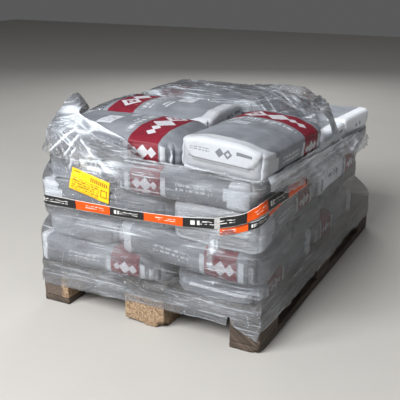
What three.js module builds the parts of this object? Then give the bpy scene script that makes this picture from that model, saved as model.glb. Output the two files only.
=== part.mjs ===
// A loaded pallet: paper sacks stacked in bonded layers, held by stretch film and packing tape.
// Millimetres, +Z up. The origin is on the floor under the middle of the pallet.
// The 800 mm front end faces -Y, and the 1200 mm sides run along Y.
import * as THREE from "three";
import { mergeVertices } from "three/addons/utils/BufferGeometryUtils.js";

// Pallet
const palletWidth = 800;
const palletLength = 1200;
const boardThickness = 22;
const wideBoard = 145;
const narrowBoard = 100;
const blockHeight = 78;
const blockLength = 145;
const brokenOff = 160; // the front end of the centre bottom board is gone, and its block is taller
const crossBoardBottom = boardThickness + blockHeight;
const deckTop = crossBoardBottom + 2 * boardThickness;

// Sacks
const sackLength = 488;
const sackWidth = 292;
const layerPitch = 97;
const layerGap = 0.5;
const sagSlack = 1.4; // taken off the bent sacks of the second layer, for room between bent faces
const acrossPitch = 300; // from one crosswise sack to the next
const alongPitch = 494; // from one lengthwise sack to the next
const acrossTurn = 0.7; // degrees, by which crosswise sacks lie unevenly
const alongTurn = 0.5; // degrees, for lengthwise sacks
const alongDrift = 3; // sideways
const lastAcross = 3; // number of the rearmost sack of a full crosswise column, counted from 0
const edgeRadius = 24; // along the long top and bottom edges
const cornerRadius = 72; // in plan
const pinchLength = 80; // the folded end thins over this length
const pinchShare = 0.3; // of the thickness, at the very end

// The lower layers give way at the front right corner.
const sagDepth = 44;
const sagFromX = -200;
const sagToX = 350;
const sagFromY = -290;
const sagToY = -600;
const sagAtTopOfLayer = [0, 1, 0.62, 0, 0, 0];

// Film
const filmThickness = 1.4;
const filmClearance = 9.5;
const skirtBottom = 60;
const coreX = 100; // corner rays of the wrap start here
const coreY = 300;
const cornerSteps = 12;
const frontSteps = 3;
const sideSteps = 6;
const filmLevelOverlap = 8;
const filmSpan = 80; // a row of the film rests on whatever stands out this far below it
const layerFourTop = deckTop + 4 * layerPitch;
const rearEdgeFrom = layerFourTop - layerPitch;
const upperFrom = layerFourTop + 2 * filmLevelOverlap;

// The film is drawn over the rear of the top, like a low tent. It stops torn at the front, and
// leaves the rear right corner bare.
const roof = {
  toX: 140, foot: layerFourTop + 16, slope: 0.36, clearance: 5, inset: 40,
  centreX: -146, centreY: 176, keepX: 0.42, keepY: 0.3,
  openY: -130, coveredY: 70, bareFromX: 140, bareToX: 250, bareFromY: 240, bareToY: 330,
  leastCover: 0.004, steps: 5,
};
const torn = {
  left: 640, right: layerFourTop + 16, fromX: -330, toX: 120, frontY: -590, blend: 60,
  bunch: 56, bunchY: -370, bunchWidth: 80, curl: 1.5,
};

// Tape and sticker
const tapeWidth = 34;
const tapeThickness = 1;
const tapeClearance = 2.5;
const tapeRows = [-0.5, -0.2, 0.2, 0.5];
const tape = {
  frontHeight: 372, climb: 78, climbFromX: 180, climbToX: 380, secondWidth: 24, secondGap: 0.4,
};
const stickerWidth = 156;
const stickerHeight = 57;
const stickerThickness = 0.8;
const stickerStandOff = 4.2;
const sticker = { x: -193, z: 433, tilt: -16 };

const sackPaper = { color: 0x7d7f84, roughness: 0.62, metalness: 0 };
const palletWood = { color: 0x75695a, roughness: 0.85, metalness: 0 };
const chipBlock = { color: 0xb98a58, roughness: 0.9, metalness: 0 };
const clearFilm = { color: 0xc9ccd0, roughness: 0.2, metalness: 0, transparent: true, opacity: 0.4 };
const bandTape = { color: 0x2a2a2c, roughness: 0.35, metalness: 0 };
const yellowLabel = { color: 0xf2cd14, roughness: 0.5, metalness: 0 };

const load = new THREE.Group();

function addPiece(name, geometry, finish) {
  const piece = new THREE.Mesh(geometry, new THREE.MeshStandardMaterial(finish));
  piece.name = name;
  load.add(piece);
  return piece;
}

function smoothStep(from, to, value) {
  const t = THREE.MathUtils.clamp((value - from) / (to - from), 0, 1);
  return t * t * (3 - 2 * t);
}

// Pallet boards and blocks

function addBoard(name, sizeX, sizeY, sizeZ, x, y, bottom, finish) {
  const board = addPiece(name, new THREE.BoxGeometry(sizeX, sizeY, sizeZ), finish);
  board.position.set(x, y, bottom + sizeZ / 2);
}

function addPallet() {
  const edgeX = (palletWidth - narrowBoard) / 2;
  const edgeY = (palletLength - blockLength) / 2;
  const columns = [["left", -edgeX, narrowBoard], ["centre", 0, wideBoard], ["right", edgeX, narrowBoard]];
  const rows = [["front", -edgeY], ["middle", 0], ["rear", edgeY]];
  for (const [side, x, width] of columns) {
    const missing = side === "centre" ? brokenOff : 0;
    const length = palletLength - missing;
    addBoard(`bottom_board_${side}`, width, length, boardThickness, x, missing / 2, 0, palletWood);
  }
  for (const [row, y] of rows) {
    for (const [side, x, width] of columns) {
      const finish = row === "front" && side !== "right" ? chipBlock : palletWood;
      const foot = row === "front" && side === "centre" ? 0 : boardThickness;
      const height = crossBoardBottom - foot;
      addBoard(`block_${row}_${side}`, width, blockLength, height, x, y, foot, finish);
    }
    const bottom = crossBoardBottom;
    addBoard(`cross_board_${row}`, palletWidth, wideBoard, boardThickness, 0, y, bottom, palletWood);
  }
  const deckWidths = [wideBoard, narrowBoard, wideBoard, narrowBoard, wideBoard];
  const covered = deckWidths.reduce((sum, width) => sum + width, 0);
  const gap = (palletWidth - covered) / (deckWidths.length - 1);
  let leftEdge = -palletWidth / 2;
  deckWidths.forEach((width, index) => {
    const x = leftEdge + width / 2;
    const bottom = deckTop - boardThickness;
    addBoard(`deck_board_${index + 1}`, width, palletLength, boardThickness, x, 0, bottom, palletWood);
    leftEdge += width + gap;
  });
}

// How far a point of the load has sunk below its level place
function sagAt(x, y, z) {
  const level = THREE.MathUtils.clamp((z - deckTop) / layerPitch, 0, sagAtTopOfLayer.length - 1);
  const below = Math.min(Math.floor(level), sagAtTopOfLayer.length - 2);
  const share = THREE.MathUtils.lerp(sagAtTopOfLayer[below], sagAtTopOfLayer[below + 1], level - below);
  const across = smoothStep(sagFromX, sagToX, x);
  const toFront = smoothStep(sagFromY, sagToY, y);
  return sagDepth * share * across * toFront;
}

// Sacks. A sack lies with its folded grey end at -X and its flat white end at +X, before it is turned.

// Grid line number index of count, with the outermost cells only inset wide
function gridLine(index, count, half, inset) {
  if (index === 0) return -half;
  if (index === count) return half;
  return THREE.MathUtils.lerp(-half + inset, half - inset, (index - 1) / (count - 2));
}

function roundPlanCorner(point, halfLength, halfWidth) {
  const overX = Math.abs(point.x) - (halfLength - cornerRadius);
  const overY = Math.abs(point.y) - (halfWidth - cornerRadius);
  if (overX <= 0 || overY <= 0) return;
  const pull = Math.max(overX, overY) / Math.hypot(overX, overY);
  point.x = Math.sign(point.x) * (halfLength - cornerRadius + overX * pull);
  point.y = Math.sign(point.y) * (halfWidth - cornerRadius + overY * pull);
}

function roundLongEdge(point, half) {
  const core = half.clone().subScalar(edgeRadius);
  const inner = point.clone().clamp(core.clone().negate(), core);
  const out = point.clone().sub(inner);
  if (out.lengthSq() > 0) point.copy(inner).addScaledVector(out.normalize(), edgeRadius);
}

function sackGeometry({ length, width, thickness, crown, cells }) {
  const [cellsX, cellsY, cellsZ] = cells;
  const box = new THREE.BoxGeometry(2, 2, 2, cellsX, cellsY, cellsZ);
  const half = new THREE.Vector3(length / 2, width / 2, thickness / 2);
  const places = box.getAttribute("position");
  const point = new THREE.Vector3();
  for (let i = 0; i < places.count; i += 1) {
    point.fromBufferAttribute(places, i);
    const column = Math.round(((point.x + 1) / 2) * cellsX);
    const row = Math.round(((point.y + 1) / 2) * cellsY);
    point.x = gridLine(column, cellsX, half.x, edgeRadius);
    point.y = gridLine(row, cellsY, half.y, edgeRadius);
    point.z *= half.z;
    roundLongEdge(point, half);
    roundPlanCorner(point, half.x, half.y);
    const fromFold = point.x + half.x;
    const thinning = 1 - pinchShare * (1 - smoothStep(0, pinchLength, fromFold));
    const dome = (1 - (point.x / half.x) ** 2) * (1 - (point.y / half.y) ** 2);
    point.z = (point.z + half.z) * thinning + (point.z > 0 ? crown * dome : 0);
    places.setXYZ(i, point.x, point.y, point.z);
  }
  box.deleteAttribute("normal");
  box.deleteAttribute("uv");
  return mergeVertices(box, 1e-3);
}

// Every vertex of the sacks, for the wrap to go round, and the places of the sacks on top
const loadPoints = [];
const topSacks = [];

function addSack(name, { x, y, heading, layer, roll = 0, lift = 0, crown = 0, size = {} }) {
  const length = size.length ?? sackLength;
  const width = size.width ?? sackWidth;
  const turned = Math.abs(Math.sin(THREE.MathUtils.degToRad(heading))) > 0.5;
  const reachX = (turned ? width : length) / 2;
  const reachY = (turned ? length : width) / 2;
  const sags = layer <= 3 && x + reachX > sagFromX && y - reachY < sagFromY - edgeRadius;
  const cells = sags ? [10, 6, 2] : [6, 4, 2];
  const slack = sags && layer === 2 ? sagSlack : 0;
  const thickness = (size.thickness ?? layerPitch - layerGap) - slack;
  const bottom = deckTop + (layer - 1) * layerPitch + layerGap + slack / 2 + lift;
  if (crown > 0) topSacks.push({ x, y, reachX, reachY, top: bottom + thickness + crown });
  const geometry = sackGeometry({ length, width, thickness, crown, cells });
  geometry.rotateZ(THREE.MathUtils.degToRad(heading));
  geometry.rotateY(THREE.MathUtils.degToRad(roll));
  geometry.translate(x, y, bottom);
  const places = geometry.getAttribute("position");
  for (let i = 0; i < places.count; i += 1) {
    const sunk = sagAt(places.getX(i), places.getY(i), places.getZ(i));
    places.setZ(i, places.getZ(i) - sunk);
    loadPoints.push(new THREE.Vector3().fromBufferAttribute(places, i));
  }
  addPiece(name, geometry, sackPaper);
}

// A crosswise column of sacks. Towards the rear, their right ends are squeezed in by up to squeeze.
function addAcross(layer, { x, heading, frontY, squeeze = 0, count = 4 }) {
  for (let n = 0; n < count; n += 1) {
    const shorter = squeeze * (n / lastAcross) ** 2;
    addSack(`sack_${layer}_across_${n + 1}`, {
      x: x - shorter / 2,
      y: frontY + (n + 0.5) * acrossPitch,
      heading: heading + acrossTurn * Math.sin(3 * n + layer),
      layer,
      size: { length: sackLength - shorter },
    });
  }
}

// A lengthwise column of two sacks
function addAlong(layer, { x, heading, frontY, size }) {
  for (let n = 0; n < 2; n += 1) {
    addSack(`sack_${layer}_along_${n + 1}`, {
      x: x + alongDrift * Math.sin(5 * n + layer),
      y: frontY + (n + 0.5) * alongPitch,
      heading: heading + alongTurn * Math.sin(4 * n + 2 * layer),
      layer,
      size,
    });
  }
}

function addSacks() {
  const faceLeft = 180;
  const faceFront = -90;
  addAcross(1, { x: -173, heading: faceLeft, frontY: -600 });
  addAlong(1, { x: 240, heading: 90, frontY: -600 });
  addAcross(2, { x: 154, heading: faceLeft, frontY: -598, squeeze: 50 });
  addAlong(2, { x: -248, heading: 90, frontY: -598 });
  addAcross(3, { x: -150, heading: faceLeft, frontY: -600 });
  addAlong(3, { x: 248, heading: faceFront, frontY: -600 });
  addAcross(4, { x: 130, heading: 0, frontY: -612, squeeze: 12, count: 3 });
  addSack("sack_4_across_4", { layer: 4, x: 134, y: 455, heading: -5, size: { length: 474 } });
  addAlong(4, { x: -256, heading: 90, frontY: -584, size: { width: 268 } });
  const top = { layer: 5, crown: 9 };
  addSack("sack_5_across_1", { ...top, x: -107, y: -452, heading: faceLeft, size: { length: 474 } });
  addSack("sack_5_across_2", { ...top, x: -170, y: -150, heading: 1.2 });
  addSack("sack_5_across_3", { ...top, x: -146, y: 176, heading: -1.5, size: { thickness: 104 } });
  addSack("sack_5_along_1", {
    ...top, x: 275, y: -372, heading: -92, roll: 4.5, lift: 5.8,
    size: { width: 268, thickness: 102 },
  });
}

// Stretch film. The wrap is sampled along rays that leave a core rectangle, and each ray ends
// where the film, stretched straight from one high spot to the next, passes over it.

function cross2(o, a, b) {
  return (a.x - o.x) * (b.y - o.y) - (a.y - o.y) * (b.x - o.x);
}

// The convex outline of points, anticlockwise
function hullOf(points) {
  const sorted = [...points].sort((a, b) => a.x - b.x || a.y - b.y);
  const chain = (ordered) => {
    const side = [];
    for (const p of ordered) {
      while (side.length > 1 && cross2(side[side.length - 2], side[side.length - 1], p) <= 0) side.pop();
      side.push(p);
    }
    side.pop();
    return side;
  };
  return [...chain(sorted), ...chain(sorted.reverse())];
}

// How far a ray from start along way runs inside a convex outline
function reachInside(outline, start, way) {
  let reach = Infinity;
  outline.forEach((a, index) => {
    const b = outline[(index + 1) % outline.length];
    const normalX = b.y - a.y;
    const normalY = a.x - b.x;
    const speed = normalX * way.x + normalY * way.y;
    if (speed <= 0) return;
    const distance = normalX * (a.x - start.x) + normalY * (a.y - start.y);
    reach = Math.min(reach, distance / speed);
  });
  return reach;
}

// The rays go anticlockwise, seen from above, from the left end of the front.
function wrapRays() {
  const rays = [];
  const addSide = (from, to, steps, angle) => {
    const way = new THREE.Vector2(Math.cos(angle), Math.sin(angle));
    for (let n = 0; n < steps; n += 1) {
      rays.push({ start: from.clone().lerp(to, n / steps), way });
    }
  };
  const addCorner = (start, fromAngle) => {
    for (let n = 0; n < cornerSteps; n += 1) {
      const angle = fromAngle + ((Math.PI / 2) * n) / cornerSteps;
      rays.push({ start, way: new THREE.Vector2(Math.cos(angle), Math.sin(angle)) });
    }
  };
  const quarter = Math.PI / 2;
  const frontLeft = new THREE.Vector2(-coreX, -coreY);
  const frontRight = new THREE.Vector2(coreX, -coreY);
  const rearRight = new THREE.Vector2(coreX, coreY);
  const rearLeft = new THREE.Vector2(-coreX, coreY);
  addSide(frontLeft, frontRight, frontSteps, -quarter);
  addCorner(frontRight, -quarter);
  addSide(frontRight, rearRight, sideSteps, 0);
  addCorner(rearRight, 0);
  addSide(rearRight, rearLeft, frontSteps, quarter);
  addCorner(rearLeft, quarter);
  addSide(rearLeft, frontLeft, sideSteps, 2 * quarter);
  addCorner(frontLeft, 2 * quarter);
  return rays;
}

// One level of the film: the outline round what lies between low and high. Above the fourth layer
// the film still stands on the rear edge of that layer.
function outlineBetween(low, high) {
  const held = loadPoints.filter((p) => p.z <= high && (p.z >= low || (p.y > 0 && p.z > rearEdgeFrom)));
  if (low < deckTop) {
    for (const x of [-palletWidth / 2, palletWidth / 2]) {
      for (const y of [-palletLength / 2, palletLength / 2]) held.push(new THREE.Vector3(x, y, deckTop));
    }
  }
  return hullOf(held);
}

// The rows of the wrap, and how much of the load each is stretched over
function wrapLevels() {
  const heights = [skirtBottom, 112, 152, 200, 262, 330, 396, 456, 520, 548, 610, 660];
  return heights.map((z, index) => {
    const low = z - filmSpan;
    const high = (heights[index + 1] ?? z) + filmLevelOverlap;
    return { z, outline: outlineBetween(z > upperFrom ? layerFourTop : low, high) };
  });
}

// How far the film stands out along a ray at height z
function filmReach(levels, { start, way }, z) {
  const lower = levels.filter((level) => level.z <= z).length - 1;
  const below = THREE.MathUtils.clamp(lower, 0, levels.length - 2);
  const at = THREE.MathUtils.clamp((z - levels[below].z) / (levels[below + 1].z - levels[below].z), 0, 1);
  const near = reachInside(levels[below].outline, start, way);
  const far = reachInside(levels[below + 1].outline, start, way);
  return THREE.MathUtils.lerp(near, far, at) + filmClearance + filmThickness;
}

function filmPoint(levels, ray, z, proud = 0) {
  const reach = filmReach(levels, ray, z) + proud;
  return new THREE.Vector3(ray.start.x + ray.way.x * reach, ray.start.y + ray.way.y * reach, z);
}

// Height of the film where it hangs from the top sacks, apart from the lengthwise one on the right
function roofHeight(x, y) {
  return topSacks.filter((sack) => sack.x < roof.toX).reduce((height, sack) => {
    const beyondX = Math.max(Math.abs(x - sack.x) - sack.reachX + roof.inset, 0);
    const beyondY = Math.max(Math.abs(y - sack.y) - sack.reachY + roof.inset, 0);
    const hung = sack.top + roof.clearance - roof.slope * Math.hypot(beyondX, beyondY);
    return Math.max(height, hung);
  }, roof.foot);
}

// The torn top edge: low under the front sacks, and bunched up at the front left corner
function tornEdge(point) {
  const front = THREE.MathUtils.lerp(torn.left, torn.right, smoothStep(torn.fromX, torn.toX, point.x));
  const onFront = 1 - smoothStep(torn.frontY, torn.frontY + torn.blend, point.y);
  const bunch = torn.bunch * Math.exp(-(((point.y - torn.bunchY) / torn.bunchWidth) ** 2));
  const onLeft = point.x < 0 ? 1 : 0;
  const side = roofHeight(point.x, point.y) + bunch * onLeft;
  return THREE.MathUtils.lerp(side, front, onFront);
}

// A closed skin between two grids of points that run round the load
function skinGeometry(outer, inner, closed) {
  const rows = outer[0].length;
  const count = outer.length;
  const places = [];
  const faces = [];
  for (const grid of [outer, inner]) {
    for (const column of grid) column.forEach((p) => places.push(p.x, p.y, p.z));
  }
  const at = (side, i, j) => (side * count + (i % count)) * rows + j;
  const quad = (a, b, c, d) => faces.push(a, b, c, a, c, d);
  const spans = closed ? count : count - 1;
  for (let i = 0; i < spans; i += 1) {
    for (let j = 0; j < rows - 1; j += 1) {
      quad(at(0, i, j), at(0, i + 1, j), at(0, i + 1, j + 1), at(0, i, j + 1));
      quad(at(1, i, j), at(1, i, j + 1), at(1, i + 1, j + 1), at(1, i + 1, j));
    }
    quad(at(1, i, 0), at(1, i + 1, 0), at(0, i + 1, 0), at(0, i, 0));
    quad(at(0, i, rows - 1), at(0, i + 1, rows - 1), at(1, i + 1, rows - 1), at(1, i, rows - 1));
  }
  if (!closed) {
    for (let j = 0; j < rows - 1; j += 1) {
      quad(at(0, 0, j), at(0, 0, j + 1), at(1, 0, j + 1), at(1, 0, j));
      quad(at(1, count - 1, j), at(1, count - 1, j + 1), at(0, count - 1, j + 1), at(0, count - 1, j));
    }
  }
  const skin = new THREE.BufferGeometry();
  skin.setAttribute("position", new THREE.Float32BufferAttribute(places, 3));
  skin.setIndex(faces);
  return skin;
}

// The grid moved inwards, square to its own surface
function thickened(grid, depth, closed) {
  const count = grid.length;
  const rows = grid[0].length;
  return grid.map((column, i) => column.map((p, j) => {
    const before = closed ? (i + count - 1) % count : Math.max(i - 1, 0);
    const after = closed ? (i + 1) % count : Math.min(i + 1, count - 1);
    const along = grid[after][j].clone().sub(grid[before][j]);
    const up = column[Math.min(j + 1, rows - 1)].clone().sub(column[Math.max(j - 1, 0)]);
    return p.clone().addScaledVector(along.cross(up).normalize(), -depth);
  }));
}

function addFilm(levels) {
  const sideRows = levels.map((level) => level.z).filter((z) => z < layerFourTop);
  const grid = wrapRays().map((ray) => {
    const column = sideRows.map((z) => filmPoint(levels, ray, z));
    const rim = column[column.length - 1];
    const edge = filmPoint(levels, ray, layerFourTop + filmClearance);
    column.push(edge);
    column.push(filmPoint(levels, ray, (edge.z + tornEdge(edge)) / 2));
    const top = filmPoint(levels, ray, tornEdge(edge));
    column.push(top);
    const bareX = smoothStep(roof.bareFromX, roof.bareToX, rim.x);
    const bare = bareX * smoothStep(roof.bareFromY, roof.bareToY, rim.y);
    const covered = smoothStep(roof.openY, roof.coveredY, rim.y) * (1 - bare);
    const cover = Math.max(covered, roof.leastCover);
    for (let step = 1; step <= roof.steps; step += 1) {
      const inwards = (cover * step) / roof.steps;
      const x = THREE.MathUtils.lerp(top.x, roof.centreX + (top.x - roof.centreX) * roof.keepX, inwards);
      const y = THREE.MathUtils.lerp(top.y, roof.centreY + (top.y - roof.centreY) * roof.keepY, inwards);
      const drawn = Math.max(roofHeight(x, y), THREE.MathUtils.lerp(top.z, roof.foot, inwards));
      column.push(new THREE.Vector3(x, y, drawn + torn.curl * step));
    }
    return column;
  });
  addPiece("stretch_film", skinGeometry(grid, thickened(grid, filmThickness, true), true), clearFilm);
}

// Middle height of the tape where it passes a point of the film: it climbs at the front right
// corner, and comes down again along the rear.
function tapeHeight({ x, y }) {
  const share = y < 0
    ? smoothStep(tape.climbFromX, tape.climbToX, x)
    : smoothStep(-palletWidth / 2, tape.climbToX, x);
  return tape.frontHeight + tape.climb * share;
}

function addTape(levels) {
  const bandGrid = (rays, middle, width) => rays.map((ray) => {
    const centre = middle(filmPoint(levels, ray, tape.frontHeight));
    return tapeRows.map((row) => filmPoint(levels, ray, centre + row * width, tapeClearance + tapeThickness));
  });
  const rays = wrapRays();
  const full = bandGrid(rays, tapeHeight, tapeWidth);
  addPiece("packing_tape", skinGeometry(full, thickened(full, tapeThickness, true), true), bandTape);
  const cornerRays = rays.slice(frontSteps + 3, frontSteps + 9);
  const below = (point) => tapeHeight(point) - tapeWidth / 2 - tape.secondWidth / 2 - tape.secondGap;
  const second = bandGrid(cornerRays, below, tape.secondWidth);
  const secondInside = thickened(second, tapeThickness, false);
  addPiece("packing_tape_second_turn", skinGeometry(second, secondInside, false), bandTape);
}

function addSticker(levels) {
  const tilt = THREE.MathUtils.degToRad(sticker.tilt);
  const columns = 5;
  const grid = Array.from({ length: columns }, (_, i) => tapeRows.map((row) => {
    const along = (i / (columns - 1) - 0.5) * stickerWidth;
    const up = row * stickerHeight;
    const x = sticker.x + along * Math.cos(tilt) - up * Math.sin(tilt);
    const z = sticker.z + along * Math.sin(tilt) + up * Math.cos(tilt);
    const ray = { start: new THREE.Vector2(x, -coreY), way: new THREE.Vector2(0, -1) };
    return filmPoint(levels, ray, z, stickerStandOff + stickerThickness);
  }));
  const inside = thickened(grid, stickerThickness, false);
  addPiece("yellow_sticker", skinGeometry(grid, inside, false), yellowLabel);
}

addPallet();
addSacks();
const levels = wrapLevels();
addFilm(levels);
addTape(levels);
addSticker(levels);

export default load;
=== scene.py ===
import math
import bpy
import numpy as np
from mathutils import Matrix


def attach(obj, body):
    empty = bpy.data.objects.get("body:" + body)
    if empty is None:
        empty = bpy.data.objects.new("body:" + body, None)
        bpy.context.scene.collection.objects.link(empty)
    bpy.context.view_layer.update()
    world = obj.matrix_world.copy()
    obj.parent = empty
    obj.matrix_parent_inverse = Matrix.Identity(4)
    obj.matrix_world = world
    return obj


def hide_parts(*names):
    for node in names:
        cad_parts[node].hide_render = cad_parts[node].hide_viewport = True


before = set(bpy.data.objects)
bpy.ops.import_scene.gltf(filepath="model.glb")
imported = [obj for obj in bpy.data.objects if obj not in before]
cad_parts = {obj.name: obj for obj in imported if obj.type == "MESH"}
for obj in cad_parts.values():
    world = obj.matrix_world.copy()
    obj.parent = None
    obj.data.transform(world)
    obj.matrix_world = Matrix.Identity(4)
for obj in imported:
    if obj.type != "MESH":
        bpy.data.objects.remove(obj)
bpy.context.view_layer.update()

print("frame loaded")

# Lengths in this script are millimetres, in the frame's axes. makeMesh turns them into metres.
toMetres = 0.001


def smoothStep(start, end, value):
    t = np.clip((value - start) / (end - start), 0, 1)
    return t * t * (3 - 2 * t)


def lerp(a, b, t):
    return a + (b - a) * t


# A value read between pairs of place and value
def between(pairs, at):
    return np.interp(at, *zip(*sorted(pairs)))


# A number from 0 to 1 for each whole-number place
def hashed(x, y, z, seed):
    n = x.astype(np.int64) * 73856093 ^ y.astype(np.int64) * 19349663 ^ z.astype(np.int64) * 83492791
    n = (n ^ seed * 2654435761) & 0xFFFFFFFF
    n = ((n ^ (n >> 15)) * 739984489) & 0xFFFFFFFF
    n = ((n ^ (n >> 13)) * 277803737) & 0xFFFFFFFF
    return ((n ^ (n >> 16)) & 0xFFFFFF) / float(0xFFFFFF)


# Smooth noise from -1 to 1
def noise(x, y, z, seed):
    x, y, z = np.broadcast_arrays(np.asarray(x, float), np.asarray(y, float), np.asarray(z, float))
    fx, fy, fz = np.floor(x), np.floor(y), np.floor(z)
    tx, ty, tz = (smoothStep(0, 1, t) for t in (x - fx, y - fy, z - fz))
    total = np.zeros(x.shape)
    for i in (0, 1):
        for j in (0, 1):
            for k in (0, 1):
                weight = (tx if i else 1 - tx) * (ty if j else 1 - ty) * (tz if k else 1 - tz)
                total += weight * hashed(fx + i, fy + j, fz + k, seed)
    return total * 2 - 1


# Noise of three sizes added up
def fractal(x, y, z, seed):
    total = 0.0
    for n in range(3):
        total = total + noise(x * 2 ** n, y * 2 ** n, z * 2 ** n, seed + 17 * n) / 2 ** n
    return total / 1.75


# Narrow lines from 0 to 1 where the noise passes through zero
def creases(x, y, z, seed, sharpness):
    return np.exp(-np.abs(noise(x, y, z, seed)) * sharpness)


# A mesh from points, faces, a place in the material for each corner and values for the points
def makeMesh(name, points, faces, uv=None, values=None):
    points = np.asarray(points, float)
    mesh = bpy.data.meshes.new(name)
    mesh.from_pydata((points.reshape(-1, 3) * toMetres).tolist(), [], np.asarray(faces).tolist())
    mesh.polygons.foreach_set("use_smooth", np.full(len(mesh.polygons), True))
    if uv is not None:
        layer = mesh.uv_layers.new(name="UVMap")
        layer.data.foreach_set("uv", (uv * toMetres).ravel())
    for key, value in (values or {}).items():
        attribute = mesh.attributes.new(key, "FLOAT", "POINT")
        attribute.data.foreach_set("value", np.broadcast_to(value, points.shape[:-1]).astype(float).ravel())
    mesh.update()
    piece = bpy.data.objects.new(name, mesh)
    bpy.context.scene.collection.objects.link(piece)
    return piece


# Hands a piece over to the frame
def place(piece, material, node):
    piece.data.materials.append(material)
    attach(piece, "root")
    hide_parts(node)
    return piece


# Faces of a grid whose points are numbered row by row
def gridFaces(rows, columns, closed=False):
    i, j = np.meshgrid(np.arange(rows - 1), np.arange(columns if closed else columns - 1), indexing="ij")
    after = (j + 1) % columns
    corners = [i * columns + j, i * columns + after, (i + 1) * columns + after, (i + 1) * columns + j]
    return np.stack(corners, -1).reshape(-1, 4)


# The surface lattice of a box with cells (nx, ny, nz): whole-number points, quads, and for each
# quad the side it is on: 0 top, 1 bottom, 2 +Y, 3 -Y, 4 +X, 5 -X
def boxLattice(cells):
    sides = [(0, 1, 2, 1), (1, 0, 2, 0), (2, 0, 1, 1), (0, 2, 1, 0), (1, 2, 0, 1), (2, 1, 0, 0)]
    allPoints = []
    allFaces = []
    allSides = []
    count = 0
    for side, (u, v, fixed, high) in enumerate(sides):
        i, j = np.meshgrid(np.arange(cells[v] + 1), np.arange(cells[u] + 1), indexing="ij")
        grid = np.zeros((i.size, 3), dtype=int)
        grid[:, u] = j.ravel()
        grid[:, v] = i.ravel()
        grid[:, fixed] = cells[fixed] if high else 0
        quads = gridFaces(cells[v] + 1, cells[u] + 1)
        allPoints.append(grid)
        allFaces.append(quads + count)
        allSides.append(np.full(len(quads), side))
        count += len(grid)
    points = np.concatenate(allPoints)
    faces = np.concatenate(allFaces)
    # The points on the box's edges belong to several sides and are joined
    key = (points[:, 0] * (cells[1] + 1) + points[:, 1]) * (cells[2] + 1) + points[:, 2]
    keep, number = np.unique(key, return_index=True, return_inverse=True)[1:]
    return points[keep], number.ravel()[faces], np.concatenate(allSides)


# A colour from screen values, made lighter or darker by a share
def linear(colour, share=1.0):
    def one(c):
        c = c * share / 255
        return c / 12.92 if c <= 0.04045 else ((c + 0.055) / 1.055) ** 2.4
    return (*map(one, colour), 1)


# A socket of a material with arithmetic on it
class Value:
    def __init__(self, paint, socket):
        self.paint = paint
        self.socket = socket

    def __add__(self, other):
        return self.paint.maths("ADD", self, other)

    def __sub__(self, other):
        return self.paint.maths("SUBTRACT", self, other)

    def __rsub__(self, other):
        return self.paint.maths("SUBTRACT", other, self)

    def __mul__(self, other):
        return self.paint.maths("MULTIPLY", self, other)

    def __truediv__(self, other):
        return self.paint.maths("DIVIDE", self, other)


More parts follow.
